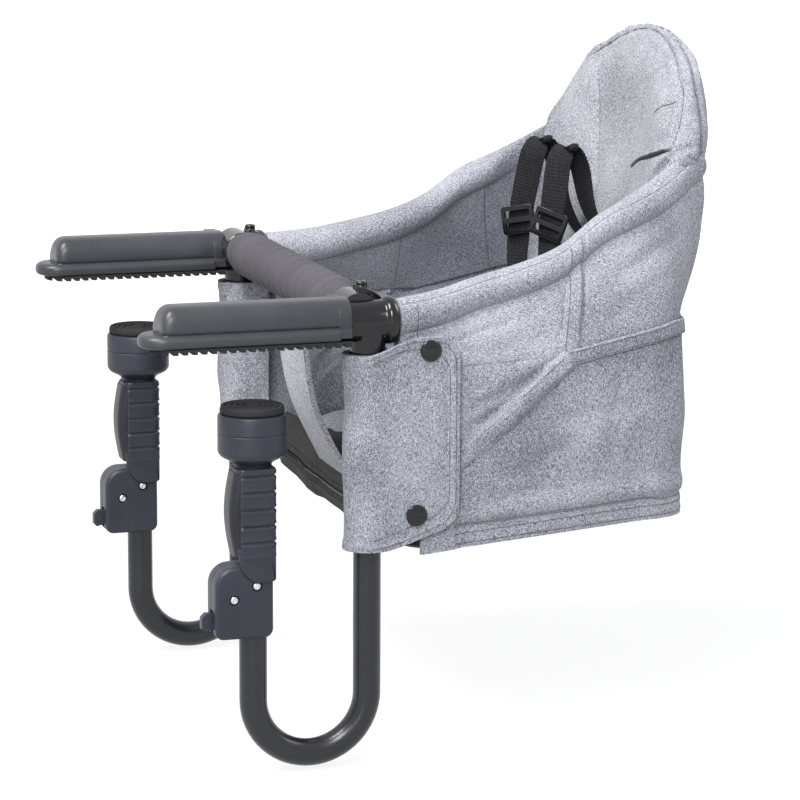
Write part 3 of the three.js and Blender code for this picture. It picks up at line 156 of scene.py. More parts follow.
def even(path: Array, step: float) -> Array:
    """Places at even distances along a path.

    Args:
        path: Places, one row each.
        step: Distance wanted between two of them.

    Returns:
        The new places.
    """
    lengths = travelled(path)
    places = np.linspace(0, lengths[-1], max(int(round(lengths[-1] / step)), 2) + 1)
    return np.column_stack([np.interp(places, lengths, column) for column in path.T])


def spread(outline: Array, count: int) -> Array:
    """Closed outline with its points at even distances.

    Args:
        outline: Points round it.
        count: Number of points wanted.

    Returns:
        The new points.
    """
    closed = np.vstack([outline, outline[:1]])
    lengths = travelled(closed)
    places = np.linspace(0, lengths[-1], count, endpoint=False)
    return np.column_stack([np.interp(places, lengths, column) for column in closed.T])


def eased(path: Array, passes: int) -> Array:
    """Path with its small turns smoothed away and its ends kept.

    Args:
        path: Places along it.
        passes: How often each place moves towards its neighbours.

    Returns:
        Places of the smoother path.
    """
    places = path.copy()
    for _ in range(passes):
        places[1:-1] = (places[:-2] + 2 * places[1:-1] + places[2:]) / 4
    return places


def bowed(start: Array, pull: Array, end: Array, t: Array) -> Array:
    """Curve from start to end that a third point pulls aside."""
    return (1 - t) ** 2 * start + 2 * t * (1 - t) * pull + t**2 * end


def unit(vectors: Array) -> Array:
    """Vectors of length one."""
    return vectors / np.maximum(np.linalg.norm(vectors, axis=-1, keepdims=True), 1e-9)


def loft(rings: Array | Sequence[Array], caps: bool = True) -> Surface:
    """Skin over rings of points, each of which runs back to its start.

    Args:
        rings: Rings, points and coordinates.
        caps: Whether the end rings are filled.

    Returns:
        Vertices and faces.
    """
    points = np.array(rings)
    count, size = points.shape[:2]
    faces: Faces = []
    for i in range(count - 1):
        for j in range(size):
            k = (j + 1) % size
            faces.append((i * size + j, i * size + k, (i + 1) * size + k, (i + 1) * size + j))
    if caps:
        faces.append(tuple(range(size - 1, -1, -1)))
        faces.append(tuple(range((count - 1) * size, count * size)))
    return points.reshape(-1, 3), faces


def merged(*surfaces: Surface) -> Surface:
    """Several surfaces as one.

    Args:
        *surfaces: Surfaces that are joined.

    Returns:
        Vertices and faces of them all.
    """
    points, faces, start = [], [], 0
    for part, polygons in surfaces:
        points.append(part)
        faces.extend(tuple(i + start for i in polygon) for polygon in polygons)
        start += len(part)
    return np.vstack(points), faces


def turned(profile: Profile, axis: Axis, centre: Sequence[float], steps: int = 48) -> Surface:
    """Surface of revolution.

    Args:
        profile: Radius and place along the axis, from end to end.
        axis: Axis it is turned about.
        centre: A point of that axis.
        steps: Places round it.

    Returns:
        Vertices and faces.
    """
    angles = np.linspace(0, 2 * math.pi, steps, endpoint=False)
    rings = np.empty((len(profile), steps, 3))
    u, v = axis.others
    for ring, (radius, along) in zip(rings, profile, strict=True):
        ring[:] = centre
        ring[:, axis.value] = along
        ring[:, u] += max(radius, 0.01) * np.cos(angles)
        ring[:, v] += max(radius, 0.01) * np.sin(angles)
    return loft(rings)


def rod(radius: float, low: float, high: float, axis: Axis, centre: Sequence[float], steps: int = 48) -> Surface:
    """Plain cylinder between two places along an axis."""
    return turned([(radius, low), (radius, high)], axis, centre, steps)


def swept(path: Array, section: Callable[[int], Array], across: Sequence[float] | Array,
          caps: bool = True) -> Surface:
    """Surface swept along a path.

    Args:
        path: Places along it.
        section: Gives the section at a place, as distances across and out.
        across: Direction across the section, as near as the path allows, or one direction for each place.
        caps: Whether the ends are filled.

    Returns:
        Vertices and faces.
    """
    along = unit(np.gradient(path, axis=0))
    given = np.array(across, dtype=float)
    side = given if given.ndim == 1 else given[0]
    rings = []
    for i, at in enumerate(path):
        side = side if given.ndim == 1 else given[i]
        side = unit(side - along[i] * float(side @ along[i]))
        out = np.cross(side, along[i])
        shape = section(i)
        rings.append(at + shape[:, :1] * side + shape[:, 1:2] * out)
    return loft(rings, caps=caps)


def circle(radius: float, sides: int) -> Array:
    """Round section."""
    angles = np.linspace(0, 2 * math.pi, sides, endpoint=False)
    return radius * np.column_stack([np.cos(angles), np.sin(angles)])


def rounded(u0: float, u1: float, v0: float, v1: float, radius: float | Sequence[float], steps: int = 8) -> Array:
    """Rectangle with round corners.

    Args:
        u0: Low side.
        u1: High side.
        v0: Bottom.
        v1: Top.
        radius: Radius of all corners, or one for each from the high bottom corner on.
        steps: Spans in a corner.

    Returns:
        Points round it.
    """
    radii = [radius] * 4 if isinstance(radius, (int, float)) else list(radius)
    corners = [(u1, v0, -1, 1, -90), (u1, v1, -1, -1, 0), (u0, v1, 1, -1, 90), (u0, v0, 1, 1, 180)]
    points = []
    for (u, v, du, dv, start), r in zip(corners, radii, strict=True):
        for i in range(steps + 1):
            angle = math.radians(start + 90 * i / steps)
            points.append((u + du * r + r * math.cos(angle), v + dv * r + r * math.sin(angle)))
    return np.array(points)


def shrunk(outline: Array, inset: float) -> Array:
    """Outline, moved inwards at every point."""
    along = unit(np.roll(outline, -1, axis=0) - np.roll(outline, 1, axis=0))
    return outline + inset * np.column_stack([-along[:, 1], along[:, 0]])


def plate(outline: Array, axis: Axis, low: float, high: float, soft: tuple[float, float]) -> Surface:
    """Plate with rounded edges.

    Args:
        outline: Points round it, anticlockwise, in the two coordinates that follow the axis.
        axis: Direction of its thickness.
        low: Lower face.
        high: Upper face.
        soft: Radius of the edge at the lower and at the upper face.

    Returns:
        Vertices and faces.
    """
    turns = [math.pi / 2 * i / EDGE_STEPS for i in range(EDGE_STEPS + 1)]
    edges = [[(radius * (1 - math.sin(t)), radius * (1 - math.cos(t))) for t in turns] for radius in soft]
    levels = [(low + rise, inset) for rise, inset in reversed(edges[0])]
    levels += [(high - rise, inset) for rise, inset in edges[1]]
    rings = np.empty((len(levels), len(outline), 3))
    for ring, (along, inset) in zip(rings, levels, strict=True):
        ring[:, axis.value] = along
        ring[:, list(axis.others)] = shrunk(outline, inset)
    return loft(rings)


def upright(at: Array, z: Array) -> Array:
    """Places above each other over a place in plan."""
    return at[None, :] + np.column_stack([np.zeros((len(z), 2)), z])


def shell_ring(plain: Array, out: Array, outer: Array, inner: Array) -> Array:
    """Section of a cloth shell, up its outside and down its inside, from distances off the plain wall."""
    return np.vstack([plain + out * outer[:, None], (plain + out * inner[:, None])[::-1]])


def ruffle(points: Array, size: float, seed: float) -> Array:
    """Smooth random heights from -1 to 1, over places, by the size of the waves and a seed."""
    return np.array([noise.noise(Vector(p / size) + Vector((seed, 2 * seed, 3 * seed))) for p in points])


def line_distance(u: Array, v: Array, start: Sequence[float], end: Sequence[float]) -> tuple[Array, Array]:
    """Place of points relative to a straight line.

    Args:
        u: First coordinate of the points.
        v: Second coordinate.
        start: Where the line starts.
        end: Where it ends.

    Returns:
        Signed distance from the line, and share of the way along it.
    """
    du, dv = end[0] - start[0], end[1] - start[1]
    length = math.hypot(du, dv)
    share = ((u - start[0]) * du + (v - start[1]) * dv) / length**2
    return ((v - start[1]) * du - (u - start[0]) * dv) / length, share


# Finishes


class Tree:
    """Node tree, with short ways to add to it."""

    def __init__(self, tree: bpy.types.NodeTree) -> None:
        """Keep the tree that gets the nodes."""
        self.tree = tree

    def feed(self, socket: Socket, value: object) -> None:
        """Give an input a value, or link another node's output to it.

        Args:
            socket: Input of a node.
            value: Value for it, or an output.
        """
        if isinstance(value, Socket):
            self.tree.links.new(value, socket)
        else:
            socket.default_value = value

    def node(self, kind: str, *first: object, **named: object) -> bpy.types.Node:
        """New node.

        Args:
            kind: Type of the node, without its prefix.
            *first: Values or sockets for its first inputs, in order.
            **named: Values or sockets for inputs by name, with underscores for spaces.

        Returns:
            The node.
        """
        node = self.tree.nodes.new(f"ShaderNode{kind}")
        for i, value in enumerate(first):
            self.feed(node.inputs[i], value)
        for key, value in named.items():
            self.feed(node.inputs[key.replace("_", " ")], value)
        return node

    def math(self, how: str, *values: float | Socket) -> Socket:
        """Result of an operation.

        Args:
            how: Name of the operation.
            *values: Numbers or sockets that it takes.

        Returns:
            The result.
        """
        node = self.node("Math")
        node.operation = how
        for i, value in enumerate(values):
            self.feed(node.inputs[i], value)
        return node.outputs[0]

    def seen_rays(self) -> Socket:
        """1 for rays from the camera, in gloss and through glass, and 0 for the rest.

        Returns:
            The output that tells them apart.
        """
        path = self.node("LightPath").outputs
        shown = self.math("MAXIMUM", path["Is Camera Ray"], path["Is Glossy Ray"])
        return self.math("MAXIMUM", shown, path["Is Transmission Ray"])

    def show(self, output: str, share: Socket, first: Socket, second: Socket) -> None:
        """Send two shaders to an output node, the second with a share."""
        mix = self.node("MixShader", share, first, second)
        self.feed(self.tree.nodes[output].inputs[0], mix.outputs[0])


class Graph(Tree):
    """Node tree of one material."""

    def __init__(self, name: str) -> None:
        """Start a material with its shader.

        Args:
            name: Name of the material.
        """
        self.material = bpy.data.materials.new(name)
        self.material.use_nodes = True
        super().__init__(self.material.node_tree)
        self.shader = self.tree.nodes["Principled BSDF"]
        self.place = self.node("TexCoord").outputs["Object"]

    def grain(self, scale: Sequence[float], detail: float = 2.0, rough: float = 0.5) -> Socket:
        """Noise whose grain is stretched along the axes.

        Args:
            scale: Grains to the metre along X, Y and Z.
            detail: Octaves.
            rough: Strength of the finer octaves.

        Returns:
            The noise, from 0 to 1.
        """
        mapping = self.node("Mapping", Vector=self.place, Scale=scale)
        cloud = self.node("TexNoise", Vector=mapping.outputs[0], Scale=1.0, Detail=detail, Roughness=rough)
        return cloud.outputs[0]

    def mixed(self, first: Socket, second: Socket, share: float) -> Socket:
        """Two heights in one, the second with a share."""
        return self.math("MULTIPLY_ADD", second, share, self.math("MULTIPLY", first, 1 - share))

    def ramp(self, height: Socket, stops: Sequence[tuple[float, Sequence[float]]]) -> Socket:
        """Colours for heights.

        Args:
            height: Height from 0 to 1.
            stops: Height and colour of each stop.

        Returns:
            The colour.
        """
        node = self.node("ValToRGB", Fac=height)
        while len(node.color_ramp.elements) < len(stops):
            node.color_ramp.elements.new(0.5)
        for element, (at, colour) in zip(node.color_ramp.elements, stops, strict=True):
            element.position = at
            element.color = (*colour, 1.0)
        return node.outputs[0]

    def span(self, height: Socket, low: float, high: float) -> Socket:
        """Height from 0.25 to 0.75, spread between two values."""
        node = self.node("MapRange", Value=height, From_Min=0.25, From_Max=0.75, To_Min=low, To_Max=high)
        return node.outputs[0]

    def finish(self, colour: Socket, rough: Socket, height: Socket, depth: float,
               strength: float = 1.0) -> bpy.types.Material:
        """Join colour, roughness and bump to the shader.

        Args:
            colour: Base colour.
            rough: Roughness.
            height: Height of the bump.
            depth: Depth of the bump in millimetres.
            strength: Share of it that is used.

        Returns:
            The material.
        """
        bump = self.node("Bump", Height=height, Distance=depth * MM, Strength=strength)
        self.shade(Base_Color=colour, Roughness=rough, Normal=bump.outputs[0])
        return self.material

    def shade(self, **inputs: object) -> None:
        """Give the shader values or sockets, by its inputs' names with underscores for spaces."""
        for key, value in inputs.items():
            self.feed(self.shader.inputs[key.replace("_", " ")], value)


@dataclass(frozen=True)
class Finish:
    """A finish, made once and shared by its pieces."""

    name: str
    slot: str

    def build(self) -> bpy.types.Material:
        """Make the material."""
        raise NotImplementedError

    @property
    def material(self) -> bpy.types.Material:
        """The material, made at its first use."""
        return bpy.data.materials.get(self.name) or self.build()


@dataclass(frozen=True)
class Cloth(Finish):
    """Plain weave of mixed light and dark yarns."""

    light: Triple
    middle: Triple
    dark: Triple
    yarns: float = 950.0
    slubs: float = 120.0
    sheen: float = 0.12

    def build(self) -> bpy.types.Material:
        """Streaked yarns all ways, blotches between them, and a weave that stands up a little.

        Returns:
            The material.
        """
        graph = Graph(self.name)
        across, along, risen = (
            graph.grain([self.slubs if i == way.value else self.yarns for i in range(3)], 2.0, 0.6) for way in Axis)
        blotch = graph.grain((14.0, 14.0, 14.0), 3.0)
        weave = graph.mixed(graph.mixed(across, along, 0.5), risen, 0.38)
        tone = graph.mixed(weave, blotch, 0.1)
        colour = graph.ramp(tone, [(0.44, self.dark), (0.5, self.middle), (0.56, self.light)])
        graph.shade(Sheen_Weight=self.sheen, Sheen_Roughness=0.5, Specular_IOR_Level=0.2)
        return graph.finish(colour, graph.span(weave, 0.8, 0.98), weave, 0.4, 0.6)


@dataclass(frozen=True)
class Coat(Finish):
    """Paint or moulded plastic: fine grain, faint blotches, and a roughness that varies."""

    colour: Triple
    rough: tuple[float, float]
    grain: float = 900.0
    depth: float = 0.06
    metal: float = 0.0
    coat: float = 0.0
    specular: float = 0.5

    def build(self) -> bpy.types.Material:
        """Fine grain under a blotched gloss.

        Returns:
            The material.
        """
        graph = Graph(self.name)
        fine = graph.grain((self.grain,) * 3, 4.0)
        cloud = graph.grain((30.0, 30.0, 22.0), 4.0, 0.6)
        low = tuple(c * 0.8 for c in self.colour)
        high = tuple(min(c * 1.22 + 0.002, 1.0) for c in self.colour)
        colour = graph.ramp(graph.mixed(fine, cloud, 0.55), [(0.35, low), (0.5, self.colour), (0.68, high)])
        graph.shade(Metallic=self.metal, Coat_Weight=self.coat, Coat_Roughness=0.15, Specular_IOR_Level=self.specular)
        return graph.finish(colour, graph.span(graph.mixed(cloud, fine, 0.3), *self.rough), fine, self.depth)


FABRIC = Cloth("heather_cloth", "fabric_grey", light=(0.485, 0.5, 0.55), middle=(0.245, 0.254, 0.289),
               dark=(0.062, 0.066, 0.082), yarns=2600.0, slubs=460.0)
# Thread darker than the cloth: partly the thread's own colour, partly painted shade of the seam creases it lies in.
THREAD_AND_SEAM_SHADE = Cloth("seam_thread", "fabric_grey", light=(0.2, 0.205, 0.23), middle=(0.13, 0.134, 0.15),
               dark=(0.07, 0.073, 0.085))
LINING = Cloth("lining_cloth", "lining", light=(0.034, 0.032, 0.034), middle=(0.018, 0.0175, 0.019),
               dark=(0.008, 0.008, 0.009), yarns=1200.0, sheen=0.03)
WEBBING = Cloth("harness_web", "webbing", light=(0.022, 0.022, 0.025), middle=(0.011, 0.011, 0.0125),
                dark=(0.005, 0.005, 0.006), yarns=1500.0, sheen=0.03)
PAINT = Coat("satin_paint", "tube_paint", (0.0115, 0.0122, 0.017), (0.22, 0.34), 1400.0, 0.03, coat=0.08, specular=0.4)
MOULDING = Coat("moulded_plastic", "moulding", (0.025, 0.028, 0.039), (0.32, 0.46), 1100.0, 0.08, specular=0.3)
SPINE = Coat("grip_spine", "moulding", (0.016, 0.0165, 0.021), (0.3, 0.44), 1100.0, 0.05, specular=0.25)
GLOSS = Coat("gloss_plastic", "gloss_moulding", (0.005, 0.005, 0.0065), (0.1, 0.2), 700.0, 0.02, coat=0.12,
             specular=0.35)
PAD = Coat("pad_skin", "pad_plastic", (0.034, 0.0355, 0.042), (0.28, 0.4), 1300.0, 0.06, specular=0.34)
RUBBER = Coat("sole_rubber", "rubber", (0.016, 0.016, 0.018), (0.7, 0.9), 800.0, 0.12, specular=0.3)
FOAM = Coat("foam_skin", "foam", (0.068, 0.065, 0.075), (0.62, 0.82), 1500.0, 0.16, specular=0.2)
ZINC = Coat("zinc_plate", "zinc_steel", (0.62, 0.63, 0.65), (0.22, 0.36), 600.0, 0.03, metal=1.0)


# Pieces


def linked(name: str, data: bpy.types.ID) -> Piece:
    """New object in the scene.

    Args:
        name: Name of the object.
        data: Mesh, camera or lamp that it shows.

    Returns:
        The object.
    """
    piece = bpy.data.objects.new(name, data)
    bpy.context.scene.collection.objects.link(piece)
    return piece


def placed(name: str, surface: Surface) -> Piece:
    """Object in the scene with no finish.

    Args:
        name: Name of the object and of its mesh.
        surface: Vertices in millimetres, and faces.

    Returns:
        The object, with its faces turned outwards.
    """
    points, faces = surface
    mesh = bpy.data.meshes.new(name)
    mesh.from_pydata((points * MM).tolist(), [], faces)
    mesh.validate()
    mesh.calc_loop_triangles()
    spots, corners = read(mesh.vertices, "co"), read(mesh.loop_triangles, "vertices", np.int32)
    a, b, c = (spots[corners[:, i]] for i in range(3))
    if float(np.einsum("ij,ij->", a, np.cross(b, c))) < 0:
        mesh.flip_normals()
    return linked(name, mesh)


def read(items: bpy.types.bpy_prop_collection, field: str, kind: type = float) -> Array:
    """Triples that a mesh's elements hold.

    Args:
        items: Elements of a mesh.
        field: Name of the triple.
        kind: Type of its numbers.

    Returns:
        One row for each element.
    """
    values = np.empty(len(items) * 3, dtype=kind)
    items.foreach_get(field, values)
    return values.reshape(-1, 3)


def smoothed(mesh: bpy.types.Mesh, sharp: float) -> None:
    """Shade a mesh smooth, apart from edges that turn by more than an angle in degrees."""
    mesh.shade_smooth()
    mesh.set_sharp_from_angle(angle=math.radians(sharp))


def solid(name: str, surface: Surface, finish: Finish) -> Piece:
    """Object with a finish.

    Args:
        name: Name of the object.
        surface: Vertices in millimetres, and faces.
        finish: Finish of it.

    Returns:
        The object, not yet on a body.
    """
    piece = placed(name, surface)
    smoothed(piece.data, 40)
    piece.data.materials.append(finish.material)
    return piece


def settle(piece: Piece) -> None:
    """Replace a piece's mesh by what its modifiers make of it, and drop them.

    Args:
        piece: Piece that is changed.
    """
    graph = bpy.context.evaluated_depsgraph_get()
    mesh = bpy.data.meshes.new_from_object(piece.evaluated_get(graph))
    old = piece.data
    piece.modifiers.clear()
    piece.data = mesh
    bpy.data.meshes.remove(old)


def combine(piece: Piece, how: str, *tools: Surface) -> None:
    """Cut tools from a piece, or join them to it.

    Args:
        piece: Piece that is changed.
        how: The modifier's name for it, DIFFERENCE or UNION.
        *tools: Surfaces.
    """
    finish = piece.data.materials[0]
    for tool in tools:
        body = placed("tool", tool)
        cut = piece.modifiers.new("combine", "BOOLEAN")
        cut.operation = how
        cut.solver = "MANIFOLD"
        cut.object = body
        settle(piece)
        mesh = body.data
        bpy.data.objects.remove(body)
        bpy.data.meshes.remove(mesh)
    piece.data.materials.clear()
    piece.data.materials.append(finish)
    smoothed(piece.data, 35)


def seat(piece: Piece, body: str, *nodes: str) -> Piece:
    """Put a piece on a body, in place of the nodes it stands for.

    Args:
        piece: Piece that is placed.
        body: Body that carries it.
        *nodes: Nodes it stands for.

    Returns:
        The piece.
    """
    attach(piece, body)
    if nodes:
        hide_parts(*nodes)
    log.info("piece %s on %s", piece.name, body)
    return piece


def mesh_points(piece: Piece) -> Array:
    """Vertices of a piece, in millimetres."""
    return read(piece.data.vertices, "co") / MM


def set_points(piece: Piece, points: Array) -> None:
    """Move a piece's vertices to places in millimetres."""
    piece.data.vertices.foreach_set("co", (points * MM).ravel())
    piece.data.update()


def stuffed(piece: Piece, voxel: float, pressure: float, cap: float) -> None:
    """Swell a closed piece as cloth over a filling.

    Args:
        piece: Piece that is swollen.
        voxel: Mesh size in millimetres.
        pressure: Pressure of the filling.
        cap: Farthest that a point may move, in millimetres.
    """
    remesh = piece.modifiers.new("even", "REMESH")
    remesh.mode = "VOXEL"
    remesh.voxel_size = voxel * MM
    settle(piece)
    start = mesh_points(piece)
    cloth = piece.modifiers.new("cloth", "CLOTH")
    cloth.settings.use_pressure = True
    cloth.settings.uniform_pressure_force = pressure
    cloth.settings.effector_weights.gravity = 0.0
    cloth.point_cache.frame_start = 1
    cloth.point_cache.frame_end = CLOTH_FRAMES
    scene = bpy.context.scene
    for step in range(1, CLOTH_FRAMES + 1):
        scene.frame_set(step)
    settle(piece)
    scene.frame_set(1)
    move = mesh_points(piece) - start
    length = np.maximum(np.linalg.norm(move, axis=1, keepdims=True), 1e-6)
    set_points(piece, start + move / length * cap * np.tanh(length / cap))
    piece.data.shade_smooth()


def fine(piece: Piece, levels: int = 1) -> None:
    """Subdivide a piece's mesh smoothly.

    Args:
        piece: Piece that is divided.
        levels: How often each face is divided.
    """
    divide = piece.modifiers.new("smooth", "SUBSURF")
    divide.levels = divide.render_levels = levels
    settle(piece)
    piece.data.shade_smooth()


class Draper:
    """Lays lines of thread on a piece's surface."""

    def __init__(self, piece: Piece) -> None:
        """Index the faces of the piece that carries the lines."""
        mesh = piece.data
        self.tree = BVHTree.FromPolygons([v.co for v in mesh.vertices], [tuple(p.vertices) for p in mesh.polygons])

    def laid(self, path: Array, lift: float) -> Array:
        """Path moved to the surface.

        Args:
            path: Places near the surface, in millimetres.
            lift: Height above it.

        Returns:
            Places on it.
        """
        places = path
        for height in (0.0, lift):
            hits = [self.tree.find_nearest(Vector(at * MM))[:2] for at in places]
            places = np.array([np.array(spot) / MM + np.array(normal) * height for spot, normal in hits])
            if height == 0.0 and len(places) > 8:
                places = eased(places, 6)
        return places

    def cast(self, flat: Array, start: float = BEFORE) -> Array:
        """Line in front view, moved along Y to the surface.

        Args:
            flat: X and Z of its places, in millimetres.
            start: Y from which the places move, before or behind the surface.

        Returns:
            Places on it, without those that miss it.
        """
        way = Vector((0, 1 if start < BEHIND else -1, 0))
        path = np.column_stack([flat[:, 0], np.full(len(flat), start), flat[:, 1]])
        hits = [self.tree.ray_cast(Vector(at * MM), way)[0] for at in path]
        return np.array([np.array(hit) / MM for hit in hits if hit is not None])


def thread(name: str, paths: Iterable[Array], radius: float, finish: Finish) -> Piece:
    """Sewn lines as one piece of thin, slightly beaded cord.

    Args:
        name: Name of the piece.
        paths: Lines.
        radius: Radius of the thread.
        finish: Finish of it.

    Returns:
        The piece.
    """
    beads = [circle(radius * share, 6) for share in (0.72, 1.0, 1.0)]
    lines = [swept(even(path, 1.1), lambda i: beads[i % 3], (0.31, 0.52, 0.79)) for path in paths]
    return solid(name, merged(*lines), finish)


# Studio


@dataclass(frozen=True)
class Lamp:
    """Softbox that looks at the seat, and that the camera doesn't see."""

    name: str
    at: Triple
    size: tuple[float, float]
    power: float
    colour: Triple = (1.0, 1.0, 1.0)
    aim: Triple = (0.05, 0.1, -0.05)

    def build(self) -> None:
        """Put the lamp in its place."""
        data = bpy.data.lights.new(self.name, "AREA")
        data.shape = "RECTANGLE"
        data.size, data.size_y = self.size
        data.energy, data.color = self.power, self.colour
        lamp = linked(self.name, data)
        lamp.visible_camera = False
        turn = (Vector(self.aim) - Vector(self.at)).to_track_quat("-Z", "Y")
        lamp.matrix_world = Matrix.Translation(self.at) @ turn.to_matrix().to_4x4()


@dataclass(frozen=True)
class Studio:
    """Camera of the photograph, pale floor, and soft light."""

    eye: Triple = (2.31238, -0.64857, 0.39414)
    right: Triple = (0.30496, 0.95235, 0.00472)
    up: Triple = (-0.18199, 0.05341, 0.98185)
    away: Triple = (-0.93482, 0.30028, -0.18960)
    lens: float = 151.9
    sensor: float = 36.0
    floor: float = -0.2965
    floor_reach: float = 40.0
    sky: tuple[float, ...] = (0.86, 0.93, 1.0, 1.0)
    sky_light: float = 0.3
    lamps: tuple[Lamp, ...] = (
        Lamp("key", (0.4, -1.5, 2.5), (1.3, 1.3), 130.0, (1.0, 0.965, 0.92)),
        Lamp("front", (1.9, -0.9, 1.5), (0.9, 0.9), 54.0, (0.95, 0.975, 1.0)),
        Lamp("strip", (2.4, -1.1, 0.3), (0.25, 1.2), 6.0),
        Lamp("rim", (0.2, 2.1, 1.7), (1.3, 1.3), 32.0))

    def build(self) -> None:
        """Set up camera, floor, lamps and world."""
        scene = bpy.context.scene
        scene.view_settings.view_transform = "Standard"
        data = bpy.data.cameras.new("photo_camera")
        data.lens, data.sensor_width = self.lens, self.sensor
        camera = linked("photo_camera", data)
        turn = Matrix((self.right, self.up, tuple(-c for c in self.away))).transposed()
        camera.matrix_world = Matrix.Translation(self.eye) @ turn.to_4x4()
        scene.camera = camera
        self.lay_floor()
        for lamp in self.lamps:
            lamp.build()
        self.light_world()

    def lay_floor(self) -> None:
        """Pale floor that is near white to the camera and keeps the shadow."""
        mesh = bpy.data.meshes.new("floor")
        corners = np.array([(-1, -1), (1, -1), (1, 1), (-1, 1)]) * self.floor_reach
        mesh.from_pydata([(x, y, self.floor) for x, y in corners.tolist()], [], [(0, 1, 2, 3)])
        floor = linked("floor", mesh)
        graph = Graph("floor_paper")
        grain = graph.grain((9.0, 9.0, 9.0), 3.0)
        colour = graph.ramp(grain, [(0.3, (0.4, 0.4, 0.4)), (0.7, (0.43, 0.43, 0.43))])
        graph.finish(colour, graph.span(grain, 0.85, 0.95), grain, 0.2)
        glow = graph.node("Emission", Color=(1.0, 1.0, 1.0, 1.0), Strength=1.3)
        away = graph.node("VectorMath", graph.place)
        away.operation = "LENGTH"
        fade = graph.node("MapRange", Value=away.outputs["Value"], From_Min=0.7, From_Max=2.2, To_Min=0.67, To_Max=1.0)
        share = graph.math("MULTIPLY", graph.seen_rays(), fade.outputs[0])
        graph.show("Material Output", share, graph.shader.outputs[0], glow.outputs[0])
        mesh.materials.append(graph.material)

    def light_world(self) -> None:
        """World that is white where it is seen or mirrored, and a cool grey light otherwise."""
        world = bpy.data.worlds.new("studio")
        world.use_nodes = True
        tree = Tree(world.node_tree)
        grey = world.node_tree.nodes["Background"]
        grey.inputs[0].default_value = self.sky
        grey.inputs[1].default_value = self.sky_light
        white = tree.node("Background", (1.0, 1.0, 1.0, 1.0))
        tree.show("World Output", tree.seen_rays(), grey.outputs[0], white.outputs[0])
        bpy.context.scene.world = world


# Frame


@dataclass(frozen=True)
class Tubes:
    """Steel tubes of the frame, and the foam on the crossbar."""

    wall: float = 1.5
    leg_bottom: float = -294.0
    leg_top: float = 2.5
    leg_front_top: float = -95.0
    window: Box = (-74.0, -67.7, -173.7, -158.7)
    foam_end: float = 133.0
    foam_taper: float = 26.0
    foam_radius: float = 16.5
    foam_end_radius: float = 13.0
    sides: int = 40
    foam_sides: int = 56

    def build(self) -> None:
        """Make the legs and the foam; arms, plungers and crossbar keep their solids."""
        for side in Side:
            self.leg(side)
            paint_node(f"arm_tube_{side}", PAINT)
            paint_node(f"clamp_plunger_{side}", PAINT)
        paint_node("crossbar_tube", PAINT)
        self.foam()

    def hollow(self, name: str, path: Array) -> Piece:
        """Tube with a wall.

        Args:
            name: Name of the piece.
            path: Places along its middle.

        Returns:
            The piece.
        """
        sections = [circle(radius, self.sides) for radius in (TUBE, TUBE - self.wall)]
        outer, inner = (swept(path, lambda i, ring=ring: ring, (1, 0, 0), caps=False) for ring in sections)
        points, faces = merged(outer, (inner[0], [f[::-1] for f in inner[1]]))
        size, last = self.sides, len(path) - 1
        for ring in (0, last):
            for j in range(size):
                k = (j + 1) % size
                a, b = ring * size + j, ring * size + k
                c, d = (len(path) + ring) * size + k, (len(path) + ring) * size + j
                faces.append((b, a, d, c) if ring == 0 else (a, b, c, d))
        return solid(name, (points, faces), PAINT)

    def leg(self, side: Side) -> None:
        """J-shaped leg tube on one side.

        Args:
            side: Side that is made.
        """
        bend = (LEG_REAR - LEG_FRONT) / 2
        low = self.leg_bottom + TUBE + bend
        x = ARM_X * side.value
        middle = (LEG_REAR + LEG_FRONT) / 2
        path = [(x, LEG_REAR, z) for z in np.linspace(self.leg_top, low, 12, endpoint=False)]
        for turn in np.linspace(0, math.pi, 33):
            path.append((x, middle + bend * math.cos(turn), low - bend * math.sin(turn)))
        path += [(x, LEG_FRONT, z) for z in np.linspace(low, self.leg_front_top, 8)[1:]]
        tube = self.hollow(f"leg_{side}", np.array(path))
        combine(tube, "DIFFERENCE", plate(rounded(*self.window, 1), Axis.X, x - 4, x + 4, (0.2, 0.2)))
        seat(tube, f"leg_{side}", f"leg_tube_{side}")

    def foam_at(self, x: float) -> float:
        """Radius of the foam at a distance from its middle, without its grooves."""
        edge = 1 - smooth(self.foam_end - self.foam_taper, self.foam_end, abs(x)) ** 1.5
        return self.foam_end_radius + (self.foam_radius - self.foam_end_radius) * edge

    def foam(self) -> None:
        """Foam grip with pairs of ring grooves, drawn in at its ends, and dark rubber rings in the grooves as painted
        shade.
        """
        end, hole = self.foam_end, TUBE + 0.3
        rings = [c + d for c in np.linspace(-108, 108, 7) for d in (-7.5, 8.5)]
        profile = [(hole, -end)]
        for x in np.linspace(-end, end, 420):
            near = min(abs(x - ring) for ring in rings)
            groove = -2.3 * float(ridge(near, 1.3)) + 0.5 * float(ridge(near - 4.0, 2.6))
            gather = 0.5 * math.sin(x * 1.7) * float(smooth(end - 24, end - 6, abs(x)))
            profile.append((self.foam_at(x) + groove + gather, x))
        profile.append((hole, end))
        sleeve = solid("foam_grip", turned(profile, Axis.X, BAR, self.foam_sides), FOAM)
        combine(sleeve, "DIFFERENCE", rod(hole, -end - 1, end + 1, Axis.X, BAR, self.foam_sides))
        seat(sleeve, "frame", "foam_sleeve")
        # Dark rubber rings standing a little out of the groove bottoms: painted shade that darkens the grooves.
        groove_shades = []
        for x in rings:
            top = self.foam_at(x) - 1.5
            groove_shade = [(top - 1.5, x - 0.5), (top, x - 0.5), (top, x + 0.5), (top - 1.5, x + 0.5)]
            groove_shades.append(turned(groove_shade, Axis.X, BAR, self.foam_sides))
        seat(solid("foam_slits", merged(*groove_shades), RUBBER), "frame")


def paint_node(node: str, finish: Finish) -> None:
    """Give a carried-over solid its finish.

    Args:
        node: Name of the solid.
        finish: Finish of it.
    """
    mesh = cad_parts[node].data
    mesh.materials.clear()
    mesh.materials.append(finish.material)


